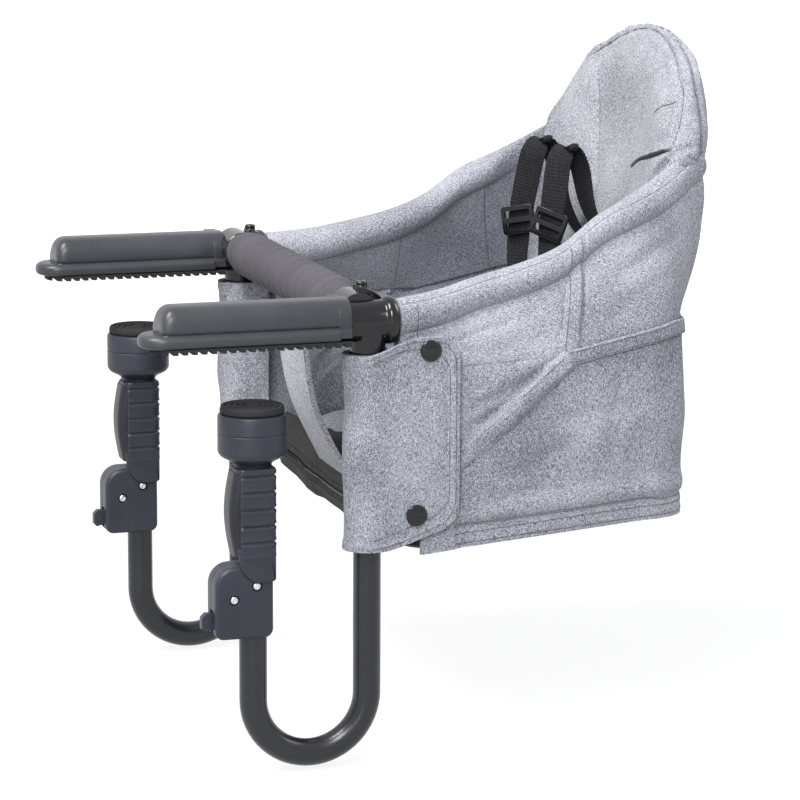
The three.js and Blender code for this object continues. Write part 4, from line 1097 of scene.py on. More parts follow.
@dataclass(frozen=True)
class ArmPads:
    """Moulded pads round the arm tubes' front ends, each on a ribbed sole."""

    rear: float = 2.0
    front: float = -128.0
    tip: float = -141.0
    half: float = 18.3
    bottom: float = 3.8
    top: float = 31.5
    flange_top: float = 12.6
    body_floor: float = 8.0
    nose_length: float = 11.0
    groove_step: float = 6.6

    def build(self) -> None:
        """Make both pads."""
        for side in Side:
            self.pad(side)
            self.sole(side)

    def pad(self, side: Side) -> None:
        """Rounded loaf on a beaded flange, with its rear end block.

        Args:
            side: Side that is made.
        """
        x = ARM_X * side.value
        half, floor = self.half - 1.2, self.body_floor
        rings = []
        lengths = self.front + self.nose_length * np.linspace(0, 1, 14) ** 2
        for y in np.concatenate([lengths, np.linspace(-114, self.rear, 20)]):
            u = 1 - min((y - self.front) / self.nose_length, 1.0)
            nose = (1 - u**2.6) ** (1 / 2.6)
            wide, tall = half * (0.74 + 0.26 * nose), (self.top - floor) * (0.3 + 0.7 * nose)
            ring = []
            for turn in math.pi / 2 * (1 - np.cos(np.linspace(0, math.pi, 52))):
                c, t = math.cos(turn), math.sin(turn)
                z = floor + tall * max(t, 0.0) ** 0.66
                slim = wide - 1.7 * float(ridge(z - self.flange_top - 0.6, 1.1))
                ring.append((x + slim * np.sign(c) * abs(c) ** 0.62, y, z))
            ring += [(x - wide, y, 6.0), (x + wide, y, 6.0)]
            rings.append(ring)
        body = solid(f"pad_{side}", loft(rings), PAD)
        outline = rounded(x - self.half, x + self.half, self.tip, self.rear - 7, (17.0, 2.4, 2.4, 17.0), 10)
        bead = plate(outline, Axis.Z, self.bottom, self.flange_top, (2.6, 4.6))
        block = plate(rounded(self.bottom, self.top - 0.6, x - half, x + half, (2, 13, 13, 2), 8), Axis.Y,
                      self.rear - 9, self.rear, (0.6, 0.9))
        combine(body, "UNION", bead, block)
        combine(body, "DIFFERENCE", rod(BORE, -118.3, 12.0, Axis.Y, (x, 0, ARM_Z), 40))
        seat(body, "frame", f"arm_pad_{side}")

    def sole(self, side: Side) -> None:
        """Rubber sole with a round front and ribs across it.

        Args:
            side: Side that is made.
        """
        x, half = ARM_X * side.value, self.half - 0.6
        outline = rounded(x - half, x + half, self.tip + 7, self.rear, (15.0, 1.0, 1.0, 15.0), 10)
        sole = solid(f"sole_{side}", plate(outline, Axis.Z, 0.0, 3.6, (0.3, 0.5)), RUBBER)
        grooves = []
        start = self.tip + 9.9
        while start < self.rear - 4:
            cut = rounded(start, start + self.groove_step / 2, -1.0, 2.2, (0.3, 0.9, 0.9, 0.3), 4)
            grooves.append(plate(cut, Axis.X, x - half - 2, x + half + 2, (0.05, 0.05)))
            start += self.groove_step
        combine(sole, "DIFFERENCE", merged(*grooves))
        seat(sole, "frame", f"pad_sole_{side}")


@dataclass(frozen=True)
class Corners:
    """Glossy corner connectors with their lock buttons."""

    reach: float = 30.5
    boss: float = 13.5
    button_at: tuple[float, float] = (143.5, 20.0)
    guard_at: tuple[float, float] = (14.0, 9.0)
    guard_radius: float = 26.5
    barrel: Profile = ((13.4, 2.4), (14, 3.0), (14, 27.5), (14.6, 28.6), (15.6, 29.2), (16.2, 30.4), (16.5, 32.2),
                       (16.3, 34.3), (15.6, 35.5), (14.4, 36.0))
    socket: Profile = ((11.2, -27.5), (12, -26.6), (12, -8), (12.6, 2), (13.4, 14.5))
    button: Profile = ((0, 31.9), (4, 31.9), (4, 35.4), (3.75, 35.7), (4, 36.0), (4, 37.4), (3.6, 38.1), (2.9, 38.5),
                       (1.8, 38.3), (0, 38.1))

    def build(self) -> None:
        """Make both corners and their buttons."""
        for side in Side:
            self.corner(side)
            at = (self.button_at[0] * side.value, self.button_at[1], 0)
            cap = solid(f"button_{side}", turned(self.button, Axis.Z, at, 28), GLOSS)
            seat(cap, f"button_{side}", f"lock_button_{side}")

    def corner(self, side: Side) -> None:
        """Barrel with a rolled lip, leg socket, crossbar boss and curved guard.

        Args:
            side: Side that is made.
        """
        s = side.value
        x, inner = ARM_X * s, (ARM_X - self.reach) * s
        arm, leg = (x, 0, ARM_Z), (x, LEG_REAR, 0)
        body = solid(f"corner_{side}", turned(self.barrel, Axis.Y, arm), GLOSS)
        boss = [(self.boss - 0.6, inner), (self.boss, inner + 0.8 * s), (self.boss, x - 0.5 * s), (self.boss, x)]
        turns = np.radians(np.linspace(-12, 84, 26))
        y, z = self.guard_at
        arc = [(y + self.guard_radius * math.cos(t), z + self.guard_radius * math.sin(t)) for t in turns]
        low, high = sorted((inner, inner + 15.5 * s))
        combine(body, "UNION", turned(self.socket, Axis.Z, leg), turned(boss[::s], Axis.X, BAR),
                plate(np.array([self.guard_at, *arc]), Axis.X, low, high, (1.2, 1.2)))
        low, high = sorted((inner - s, 154 * s))
        combine(body, "DIFFERENCE", rod(BORE, -30, 46, Axis.Y, arm), rod(BORE, -40, 2.8, Axis.Z, leg),
                rod(BORE, low, high, Axis.X, BAR),
                rod(4.3, 28.6, 40, Axis.Z, (self.button_at[0] * s, self.button_at[1], 0), 28))
        seat(body, "frame", f"corner_connector_{side}")


@dataclass(frozen=True)
class Clamps:
    """Housing on each leg's front end, and the clamp that slides in it; both sides carry the same clamp."""

    half: float = 12.0
    front: float = -92.0
    rear: float = -51.5
    top: float = -148.0
    bottom: float = -198.0
    grip_top: float = -80.5
    grip_bottom: float = -142.5
    grip_inner: float = -11.5
    grip_outer: float = 15.2
    grip_front: float = -78.8
    grip_rear: float = -49.0
    grip_swell: float = 4.2
    grip_edge: float = 1.6
    cover_inset: float = 1.9
    spine_rear: float = -72.6
    groove_step: float = 11.5
    lever_window: Box = (-97.0, -87.0, -195.5, -178.7)
    screw_at: tuple[tuple[str, float, float], ...] = (("guide", LEG_FRONT, -161.8), ("pivot", -78.8, -170.7))
    screw: Profile = ((1.5, -10), (1.5, 10.1), (3, 10.1), (3, 10.7), (2.6, 11.3), (1.7, 11.7), (1.3, 11.72),
                      (1.1, 11.0), (0, 10.9))
    room: Profile = ((-88, -195.5), (-70.5, -178.7), (-70.5, -156.7), (-82, -156.7), (-88, -164.7))
    tongue: Profile = ((-77, -134.5), (-75.6, -146), (-72, -153), (-67.5, -157), (-63, -158.5), (-54, -158.5),
                       (-51.4, -157.6), (-50.5, -155), (-50.5, -134.5))
    foot_neck: Profile = ((0, -82.2), (7.8, -82.2), (7.8, -89.5), (13, -89.5), (13, -81))
    foot_drum: Profile = ((23.3, -70.8), (23.5, -69), (23.5, -58), (23.1, -57.6), (23.1, -57), (23.5, -56.6),
                          (23.5, -46.5), (22.8, -44.9), (21.5, -44.3), (0, -44.3))
    pad_edge: Profile = ((0, -44), (21, -44), (21.7, -43.5), (22, -42.5), (21.6, -40), (21, -39))
    pad_rings: tuple[float, ...] = (18, 14, 10, 6)

    def build(self) -> None:
        """Make both clamps."""
        for side in Side:
            x = ARM_X * side.value
            self.housing(side, x)
            self.screws(side, x)
            self.grip(side, x)
            self.foot(side, x)
            paint_node(f"release_lever_{side}", MOULDING)
            paint_node(f"lever_spring_{side}", ZINC)

    def housing(self, side: Side, x: float) -> None:
        """Two moulded halves with a bore, a lever room, a window and screw recesses.

        Args:
            side: Side that is made.
            x: X of the leg tube's middle line there.
        """
        outline = rounded(self.front, self.rear, self.bottom, self.top, (6, 2.5, 14, 6), 10)
        cuts = [rod(BORE, -205, -140, Axis.Z, (x, LEG_FRONT, 0)),
                plate(np.array(self.room), Axis.X, x - 8, x + 8, (0.1, 0.1)),
                plate(rounded(*self.lever_window, 0.6), Axis.X, x - 4, x + 4, (0.1, 0.1))]
        for _, y, z in self.screw_at:
            cuts.append(rod(1.8, x - 10.5, x + 13, Axis.X, (0, y, z), 24))
            cuts.append(turned([(3.4, x + 9.5), (3.4, x + 11.2), (4.0, x + 12.2)], Axis.X, (0, y, z), 36))
        halves = {"outer": (0.15, self.half, (0.25, 2.6)), "inner": (-self.half, -0.15, (2.6, 0.25))}
        for name, (low, high, soft) in halves.items():
            shell = solid(f"housing_{name}_{side}", plate(outline, Axis.X, x + low, x + high, soft), MOULDING)
            combine(shell, "DIFFERENCE", *cuts)
            seat(shell, f"leg_{side}", f"clamp_housing_{name}_{side}")

    def screws(self, side: Side, x: float) -> None:
        """Pan-head screws with a drive recess.

        Args:
            side: Side that is made.
            x: X of the leg tube's middle line there.
        """
        for name, y, z in self.screw_at:
            profile = [(radius, x + along) for radius, along in self.screw]
            screw = solid(f"{name}_screw_dressed_{side}", turned(profile, Axis.X, (0, y, z), 32), ZINC)
            seat(screw, f"leg_{side}", f"{name}_screw_{side}")

    def grip(self, side: Side, x: float) -> None:
        """Hand grip: smooth spine in front, ribbed cover behind it, and a tongue over the housing.

        Args:
            side: Side that is made.
            x: X of the leg tube's middle line there.
        """
        low, high = self.grip_bottom, self.grip_top
        rings, front = [], []
        levels = np.concatenate([low + np.array([0, 0.5, 1.5]), np.arange(low + 2.5, high - 2, 0.8),
                                 high - np.array([1.5, 0.5, 0])])
        grooves = [high - 5 - self.groove_step * i for i in range(6)]
        for z in levels:
            end = min(z - low, high - z)
            inset = self.grip_edge * (1 - math.sqrt(max(1 - (1 - min(end / self.grip_edge, 1)) ** 2, 0)))
            swell = math.sin(math.pi * (z - low) / (high - low))
            near = min(abs(z - g) for g in grooves)
            bow = self.grip_front - self.grip_swell * swell + inset
            ring = spread(rounded(self.grip_inner + inset, self.grip_outer, bow, self.grip_rear - inset, 7, 10), 120)
            groove = 0.95 * float(ridge(near, 0.8)) - 0.35 * float(ridge(near - 2.0, 0.9))
            cover = smooth(-75.4, -74.4, ring[:, 1]) * smooth(-10.9, -10.3, ring[:, 0])
            ring = ring + (shrunk(ring, 1.0) - ring) * (self.cover_inset * (1 - cover) + groove * cover)[:, None]
            edge = rounded(self.grip_inner + 1.3 + inset, self.grip_outer - 1.3, bow + 1.2, self.spine_rear,
                           (6.2, 0.8, 0.8, 6.2), 8)
            for flat, rows in ((edge, front), (ring, rings)):
                rows.append(np.column_stack([flat[:, 0] + x, flat[:, 1], np.full(len(flat), z)]))
        handle = solid(f"grip_{side}", loft(rings), MOULDING)
        combine(handle, "UNION", plate(spline(self.tongue, 40), Axis.X, x + 12.4, x + 15.15, (0.3, 1.0)))
        axis = (x, LEG_FRONT, 0)
        combine(handle, "DIFFERENCE", rod(10, -150, -89.5, Axis.Z, axis), rod(13.3, -89.8, -75, Axis.Z, axis))
        seat(handle, f"clamp_{side}", f"clamp_grip_{side}")
        seat(solid(f"spine_{side}", loft(front[1:-3]), SPINE), f"clamp_{side}")

    def foot(self, side: Side, x: float) -> None:
        """Flared foot with a step at its neck, and a ringed rubber pad on it.

        Args:
            side: Side that is made.
            x: X of the leg tube's middle line there.
        """
        flare = [(13 + 9.5 * smooth(0, 1, t) ** 1.4, -80 + 8 * t) for t in np.linspace(0, 1, 10)]
        profile = [*self.foot_neck, *flare, *self.foot_drum]
        foot = solid(f"foot_{side}", turned(profile, Axis.Z, (x, LEG_FRONT, 0), 56), MOULDING)
        seat(foot, f"clamp_{side}", f"clamp_foot_{side}")
        pad = list(self.pad_edge)
        for radius in self.pad_rings:
            pad += [(radius + 1.2, -39), (radius + 0.7, -40), (radius - 0.7, -40), (radius - 1.2, -39)]
        pad.append((0, -39))
        disc = solid(f"foot_disc_{side}", turned(pad, Axis.Z, (x, LEG_FRONT, 0), 56), RUBBER)
        seat(disc, f"clamp_{side}", f"foot_pad_{side}")


# Seat


@dataclass(frozen=True)
class SeatShape:
    """Lines that the cloth pieces share."""

    half: float = 177.0
    front: float = 42.0
    rear: float = 262.0
    corner: float = 45.0
    waist_front: float = -12.0
    waist_rear: float = 4.0
    waist_rise: float = 163.0
    hem_front: float = -148.0
    hem_rear: float = -134.0
    wing_end: float = 125.2
    draw_in: float = 7.0

    @property
    def side_run(self) -> float:
        """Length of the straight side."""
        return self.rear - self.corner - self.front

    @property
    def half_run(self) -> float:
        """Length from the front end to the rear centre."""
        return self.side_run + self.corner * math.pi / 2 + self.half - self.corner

    def run(self, distance: float) -> float:
        """Distance from the nearer front end, by the distance from the left one."""
        return min(distance, 2 * self.half_run - distance)

    def outline(self, distance: float) -> tuple[Array, Array]:
        """Place on the skirt's outside in plan.

        Args:
            distance: Distance from the left front end, round the rear to the right one.

        Returns:
            Point and outward direction, both with no height.
        """
        if distance > self.half_run:
            at, out = self.outline(2 * self.half_run - distance)
            return at * (-1, 1, 1), out * (-1, 1, 1)
        if distance <= self.side_run:
            return np.array([self.half, self.front + distance, 0.0]), np.array([1.0, 0.0, 0.0])
        near = self.side_run + self.corner
        turn = min((distance - self.side_run) / self.corner, math.pi / 2)
        out = np.array([math.cos(turn), math.sin(turn), 0.0])
        at = np.array([self.half - self.corner, self.rear - self.corner, 0.0]) + self.corner * out
        at[0] -= max(distance - self.side_run - self.corner * math.pi / 2, 0.0)
        drawn = self.draw_in * smooth(near - 15, near + 8, distance) * smooth(near + 42, near + 23, distance)
        return at - out * drawn, out

    def waist(self, y: float) -> float:
        """Height of the seam between skirt and wings."""
        share = np.clip((y - self.waist_rise) / (self.rear - self.corner / 2 - self.waist_rise), 0, 1)
        return self.waist_front + (self.waist_rear - self.waist_front) * share

    def hem(self, distance: float) -> float:
        """Height of the skirt's lower edge."""
        back = min(self.run(distance) / self.side_run, 1)
        return self.hem_front + (self.hem_rear - self.hem_front) * back


SHAPE = SeatShape()


@dataclass(frozen=True)
class Skirt:
    """Cloth wall round the bucket, with its hem, its pleats and the waist band."""

    thickness: float = 3.2
    fold: float = 3.0
    hem_band: float = 14.0
    band_height: float = 10.5
    thread: float = 0.36
    free_from: float = 37.0
    pleat: tuple[tuple[float, float], ...] = ((163.0, -14.0), (74.0, -88.0))
    creases: tuple[tuple[tuple[float, float], tuple[float, float], float, float], ...] = (
        ((158, -18), (78, -52), 3.4, 3.4), ((150, -12), (84, -24), 2.6, 3.6), ((176, -24), (118, -66), 2.2, 3.2),
        ((76, -66), (116, -46), 2.8, 3.0), ((80, -38), (104, -30), 2.2, 2.6), ((88, -78), (112, -62), 2.0, 2.8),
        ((84, -118), (150, -104), 1.6, 5.0), ((200, -22), (188, -96), 1.6, 6.0), ((112, -100), (170, -70), 1.5, 5.0),
        ((150, -60), (214, -52), 1.3, 6.0))

    def build(self) -> None:
        """Make wall, sewn lines and band."""
        wall = self.wall()
        seat(wall, "frame", "seat_skirt")
        self.sew(wall)
        self.band()

    def relief(self, at: Array, distance: float, z: Array, share: Array) -> Array:
        """Height of the folds over the plain wall.

        Args:
            at: Place in plan.
            distance: Distance along the outline.
            z: Heights.
            share: Shares of the wall's height.

        Returns:
            Distances outwards.
        """
        run = SHAPE.run(distance)
        past = max(run - self.free_from, 0.0)
        out = self.fold * (0.5 - 0.5 * math.cos(past * math.pi / self.free_from)) * np.sin(math.pi * share) ** 2
        free = smooth(0, 14, past) * np.sin(math.pi * np.clip(share, 0, 1)) ** 0.5
        y = np.full_like(z, SHAPE.front + min(run, SHAPE.side_run))
        off, along = line_distance(y, z, *self.pleat)
        on = smooth(-0.05, 0.06, along) * smooth(1.08, 0.95, along) * smooth(0, 5, past)
        strip = 2.6 * smooth(7.2, 5.6, np.abs(off)) - 2.2 * ridge(off + 8.5, 2.2) - 1.2 * ridge(off - 8.5, 2.0)
        out = out + on * strip
        for start, end, depth, width in self.creases:
            off, along = line_distance(y, z, start, end)
            fade = smooth(-0.1, 0.2, along) * smooth(1.15, 0.7, along)
            out = out - depth * fade * ridge(off, width) * free
        rise = z - SHAPE.hem(distance)
        out = out + 2.2 * ridge(rise - self.hem_band - 9, 7.0) - 2.2 * ridge(rise - self.hem_band, 1.9)
        tuck = SHAPE.waist(at[1]) - z
        out = out + 3.6 * smooth(-104, -126, z) * smooth(205, 228, run) * smooth(262, 243, run)
        return out - 3.4 * smooth(9.0, 0.0, tuck) - 1.5 * ridge(past, 9.0) * smooth(0, 3, run - 30)

    def wall(self) -> Piece:
        """Wall as a closed cloth shell.

        Returns:
            The wall.
        """
        distances = np.linspace(0, 2 * SHAPE.half_run, 231)
        shares = np.linspace(0, 1, 46)
        rings = []
        for distance in distances:
            at, out = SHAPE.outline(distance)
            low = SHAPE.hem(distance)
            z = low + (SHAPE.waist(at[1]) - low) * shares
            plain = upright(at, z)
            run = SHAPE.run(distance)
            plain[:, 1] += 11.0 * smooth(62, 0, run) * smooth(-95, -140, z)
            loose = float(smooth(35, 60, run)) * np.sin(math.pi * shares) ** 0.7
            height = self.relief(at, distance, z, shares)
            height = height + loose * (1.9 * ruffle(plain, 46, 3.0) + 0.9 * ruffle(plain, 19, 8.0))
            rings.append(shell_ring(plain, out, height, height - self.thickness))
        return solid("skirt", loft(rings), FABRIC)

    def sew(self, wall: Piece) -> None:
        """Rows of stitches along the hem and beside the pleats.

        Args:
            wall: Wall that carries them.
        """
        draper = Draper(wall)
        lines = []
        for rise in (3.0, self.hem_band - 3.5, self.hem_band):
            run = []
            for distance in np.linspace(36, 2 * SHAPE.half_run - 36, 260):
                at, out = SHAPE.outline(distance)
                run.append(np.append((at + 3 * out)[:2], SHAPE.hem(distance) + rise))
            lines.append(draper.laid(np.array(run), 0.1))
        for side in Side:
            for off in (-4.6, 4.6):
                shift = off * np.array([0.0, -0.64, 0.77])
                run = np.linspace((SHAPE.half + 5, 158, -18.5), (SHAPE.half + 5, 78, -85), 50) + shift
                lines.append(draper.laid(side.mirror(run), 0.0))
        seat(thread("skirt_stitches", lines, self.thread, THREAD_AND_SEAM_SHADE), "frame")

    def band(self) -> None:
        """Raised band that covers the waist seam behind the sides' pleats."""
        section = rounded(-self.band_height / 2, self.band_height / 2, -1.3, 1.3, 1.1, 3)
        start = SHAPE.waist_rise - SHAPE.front - 4
        path, outside = [], []
        for distance in np.linspace(start, 2 * SHAPE.half_run - start, 240):
            at, out = SHAPE.outline(distance)
            place = at + out * (0.7 + 0.4 * noise.noise(Vector(at / 31)))
            place[2] = SHAPE.waist(at[1]) - self.band_height / 2 + 1.5
            path.append(place)
            outside.append(place + out * 3)
        strip = solid("waist_band", swept(np.array(path), lambda i: section, (0, 0, 1)), FABRIC)
        seat(strip, "frame")
        draper = Draper(strip)
        lines = [draper.laid(np.array(outside) + (0, 0, off), 0.0) for off in (-3.6, 3.6)]
        seat(thread("waist_stitches", lines, self.thread, THREAD_AND_SEAM_SHADE), "frame")


@dataclass(frozen=True)
class Wings:
    """Padded cloth sides whose rim is rolled over the arm tubes."""

    wall: float = 4.2
    fold: float = 2.5
    steps: int = 150
    wall_steps: int = 21
    roll_steps: int = 33
    roll_seam: int = 32
    thread: float = 0.38
    rim: tuple[tuple[float, float, float, float], ...] = (
        (165, 38, 28.5, 14), (157, 71, 32, 13.5), (149, 100, 38.5, 13), (146.5, 134, 46, 12.6), (148, 163, 57.5, 12.4),
        (146, 189, 76, 12), (141.5, 213, 87, 12), (138, 236, 98, 12), (127, 266, 115, 12))
    creases: tuple[tuple[float, float, float, float, float], ...] = (
        (0.1, 0.42, 0.62, 1.6, 0.09), (0.62, 0.98, 0.74, 2.4, 0.08), (0.56, 0.86, 0.4, 1.8, 0.09),
        (0.2, 0.5, 0.3, 1.4, 0.1))

    @property
    def length(self) -> float:
        """Length of the wing's foot along the waist."""
        return SHAPE.half_run - SHAPE.wing_end

    def build(self) -> None:
        """Make both wings with their sewn lines."""
        rings = np.array([self.section(share) for share in np.linspace(0, 1, self.steps + 1)])
        lines = self.seams(rings)
        for side in Side:
            wing = solid(f"wing_{side}", loft(side.mirror(rings)), FABRIC)
            self.bend(wing)
            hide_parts(f"seat_wing_{side}")
            sewn = [side.mirror(line) for line in lines]
            self.bend(thread(f"wing_stitches_{side}", sewn, self.thread, THREAD_AND_SEAM_SHADE))

    def bend(self, piece: Piece) -> None:
        """Fix the piece's placement in its mesh and log it; it is put on no body."""
        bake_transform(piece)
        log.info("piece %s between frame and back", piece.name)

    def centre(self, share: float) -> tuple[Array, float]:
        """Middle and radius of the rolled rim at a share of its length.

        Args:
            share: Share of the rim's length.

        Returns:
            The middle, and the radius.
        """
        curve = spline([(165, 36, 14.5, 14), *[(x, y, z - r, r) for x, y, z, r in self.rim]], 400)
        place = (1 + share * (len(self.rim) - 1)) / len(self.rim) * 399
        index = min(int(place), 398)
        at = curve[index] + (curve[index + 1] - curve[index]) * (place - index)
        return at[:3], float(at[3])

    def welt(self, height: float | Array) -> float | Array:
        """Share of the rim's length where the welt runs, by the share of the wall's height."""
        return 0.467 + 0.068 * height

    def section(self, share: float) -> Array:
        """One section: outer wall from the waist, over the roll, and down inside.

        Args:
            share: Share of the rim's length.

        Returns:
            Points round the section.
        """
        centre, radius = self.centre(share)
        foot, out = SHAPE.outline(share * self.length)
        foot[1] -= 4.0 * (1 - smooth(0, 0.06, share))
        out = out[:2]
        reach = float((foot - centre)[:2] @ out)
        beyond = (foot - centre)[:2] - reach * out
        drop = SHAPE.waist(foot[1]) - 8.0 - centre[2]
        reach -= 2.6
        angles = np.radians(np.linspace(-40, 250, self.roll_steps + 1))
        roll = np.column_stack([radius * np.cos(angles), radius * np.sin(angles)])
        wave = self.fold * (0.5 - 0.5 * math.cos(share * 5 * math.pi))
        low = np.array([reach, drop])
        bulge = 2 * wave + 2.0 + 3.0 * math.sin(math.pi * share) ** 0.5 + 10.0 * share**4
        t = np.linspace(0, 1, self.wall_steps + 1)[:, None]
        outer = bowed(low, (roll[0] + low) / 2 + (bulge, 2.0), roll[0], t)
        low_inside = low - (self.wall, 0)
        pull = (roll[-1] + low_inside) / 2 + (wave * 2 - 3.0 + 12.0 * share**4, -2.0)
        inner = bowed(roll[-1], pull, low_inside, t)
        flat = np.vstack([outer[:-1], roll, inner[1:]])
        up, down = t[:-1, 0], t[1:, 0]
        none = np.zeros(self.wall_steps)
        slide = np.concatenate([(1 - up) ** 1.5, np.zeros(len(roll)), down**1.5])
        points = np.column_stack([centre[:2] + flat[:, :1] * out + slide[:, None] * beyond, centre[2] + flat[:, 1]])
        rise = np.concatenate([up, np.full(len(roll), 1.0), down[::-1] - 1])
        free = np.concatenate([smooth(0, 0.3, up), np.full(len(roll), 0.55), smooth(1, 0.7, down)])
        waves = 1.3 * ruffle(points, 40, 5.0) + 0.6 * ruffle(points, 17, 2.0)
        move = free * math.sin(math.pi * share) ** 0.4 * waves
        beside = np.abs(share - self.welt(np.clip(rise, 0, 1))) * self.length
        outside = np.concatenate([none + 1, smooth(1.2, 0.6, angles), none])
        move += outside * (1.5 * smooth(7.0, 5.6, beside) - 1.3 * ridge(beside - 7.8, 1.4))
        for start, end, height, depth, width in self.creases:
            along = (share - start) / (end - start)
            fade = float(smooth(0, 0.3, along) * smooth(1, 0.7, along))
            move -= depth * fade * ridge(np.where(rise < 0, 9.0, rise) - height - 0.25 * (along - 0.5), width)
        crease = np.concatenate([none, ridge((angles - 1.0) * radius, 1.5), none])
        normal = unit(flat - np.array([min(reach * 0.4, 6.0), drop * 0.4]))
        move += 4.0 * smooth(0.84, 1.0, share) * outside * smooth(0.7, 0.95, rise)
        move += np.where(rise < 0, 0.0, 2.4 * ridge(rise - 0.13, 0.09)) - 0.9 * crease
        return points + np.column_stack([normal[:, :1] * out, normal[:, 1]]) * move[:, None]

    def seams(self, rings: Array) -> list[Array]:
        """Sewn lines of the left wing: rim, both sides of the welt, inner panel and sleeve mouth.

        Args:
            rings: Sections of the wing.

        Returns:
            The lines.
        """
        lines = [rings[1:-2, self.roll_seam]]
        for off in (-4.8, 4.8):
            run = []
            for i in range(1, self.roll_seam):
                share = float(self.welt(min(i / self.wall_steps, 1.0))) + off / self.length
                run.append(self.section(share)[i])
            lines.append(np.array(run))
        for share, start, end in ((0.4, 46, 75), (0.72, 46, 75), (0.055, 2, 31)):
            lines.append(self.section(share)[start:end])
        return lines


@dataclass(frozen=True)
class Flaps:
    """Cloth flaps wrapped round the legs, each with two snaps."""

    thickness: float = 2.6
    rear: float = 79.0
    top: float = 3.5
    low: float = -143.0
    corner: float = 15.0
    sewn_to: float = 62.0
    thread: float = 0.36
    snaps: tuple[tuple[str, float, float], ...] = (("upper", 58.0, -5.5), ("lower", 48.5, -119.0))
    cap: Profile = ((0, 0), (7.2, 0), (7.5, 0.5), (7.4, 1.2), (6.9, 1.7), (6.2, 1.75), (5.4, 2.1), (3.6, 2.7),
                    (1.6, 2.95), (0, 3))

    def build(self) -> None:
        """Make flaps, stitches and snaps."""
        for side in Side:
            flap = solid(f"flap_{side}", self.shell(side), FABRIC)
            seat(flap, "frame", f"leg_flap_{side}")
            self.sew(flap, side)
            for name, y, z in self.snaps:
                self.snap(side, name, y, z)

    def place(self, run: float) -> tuple[Array, Array]:
        """Middle line of the wrap in plan, by distance from the rear edge.

        Args:
            run: Distance from the rear edge.

        Returns:
            The place, and the outward direction.
        """
        outer = SHAPE.half + 0.4 + self.thickness / 2
        radius = outer - ARM_X
        straight = self.rear - LEG_REAR
        if run <= straight:
            return np.array([outer, self.rear - run, 0.0]), np.array([1.0, 0.0, 0.0])
        turn = -(run - straight) / radius
        if turn >= -math.pi:
            out = np.array([math.cos(turn), math.sin(turn), 0.0])
            return np.array([ARM_X, LEG_REAR, 0.0]) + radius * out, out
        back = run - straight - math.pi * radius
        return np.array([ARM_X - radius, LEG_REAR + back, 0.0]), np.array([-1.0, 0.0, 0.0])

    def edges(self, run: float) -> tuple[float, float]:
        """Lower and upper edge at a distance from the rear edge, with round rear corners.

        Args:
            run: Distance from the rear edge.

        Returns:
            Heights of both edges.
        """
        near = min(run / self.corner, 1.0)
        corner = self.corner * (1 - math.sqrt(max(1 - (1 - near) ** 2, 0.0)))
        low = self.low + 14.0 * float(smooth(57, 0, run))
        return low + corner, self.top - corner - 11.0 * float(smooth(28, 66, run))

    def shell(self, side: Side) -> Surface:
        """Flap as a closed cloth shell with soft folds where it wraps the leg.

        Args:
            side: Side that is made.

        Returns:
            Vertices and faces.
        """
        total = self.rear - LEG_REAR + math.pi * 13.7 + 18.0
        runs = np.concatenate([np.linspace(0, 1, 12) ** 2 * self.corner, np.linspace(16.5, total, 62)])
        rings = []
        for run in runs:
            at, out = self.place(run)
            low, high = self.edges(run)
            shares = np.linspace(0, 1, 54)
            z = low + (high - low) * shares
            plain = upright(at, z)
            wrap = float(smooth(40, 62, run))
            wave = wrap * (0.9 - 0.9 * np.cos(shares * 4 * math.pi + 0.04 * run)) * float(smooth(120, 95, run))
            edge = np.minimum(np.minimum(run, z - low), high - z)
            quilt = 0.5 * smooth(8.5, 6.5, edge) - 0.7 * ridge(edge - 8.5, 1.0)
            puff = np.sin(math.pi * shares) ** 0.5 * (0.35 + 0.65 * wrap)
            stretched = plain * (1.0, 1.0, 0.45)
            waves = 1.9 * ruffle(stretched, 17, 11.0) + 0.7 * ruffle(stretched, 8, 4.0) + 0.6
            height = (wave + quilt + puff * waves) * smooth(0, 4, run) + 1.2 * smooth(9, 0, run)
            half = self.thickness / 2
            rings.append(side.mirror(shell_ring(plain, out, height + half, np.minimum(height, 0.2) - half)))
        return loft(rings)

    def sew(self, flap: Piece, side: Side) -> None:
        """Double row of stitches inside the flap's edge.

        Args:
            flap: Flap that carries it.
            side: Side that is made.
        """
        draper = Draper(flap)
        lines = []
        for inset in (2.6, 8.4):
            top, bottom = self.edges(self.corner)[1] - 17.0, self.edges(self.corner)[0] + 17.0
            run = []
            for t in np.linspace(0, 3, 120):
                across = float(np.interp(t, (0, 1, 2, 3), (self.sewn_to, inset, inset, self.sewn_to)))
                low, high = self.edges(across - inset)
                z = high - inset if t < 1 else top + (bottom - top) * (t - 1) if t < 2 else low + inset
                at, out = self.place(across)
                run.append(np.append((at + out * 4)[:2], z))
            lines.append(draper.laid(side.mirror(np.array(run)), 0.05))
        seat(thread(f"flap_stitches_{side}", lines, self.thread, THREAD_AND_SEAM_SHADE), "frame")

    def snap(self, side: Side, name: str, y: float, z: float) -> None:
        """Domed snap with a rolled edge.

        Args:
            side: Side that is made.
            name: Name of the snap on that side.
            y: Y of its middle.
            z: Height of its middle.
        """
        base = SHAPE.half + 0.4 + self.thickness + 0.3
        profile = [(radius, (base + rise) * side.value) for radius, rise in self.cap]
        cap = solid(f"snap_{name}_cap_{side}", turned(profile, Axis.X, (0, y, z), 40), GLOSS)
        seat(cap, "frame", f"snap_{name}_{side}")


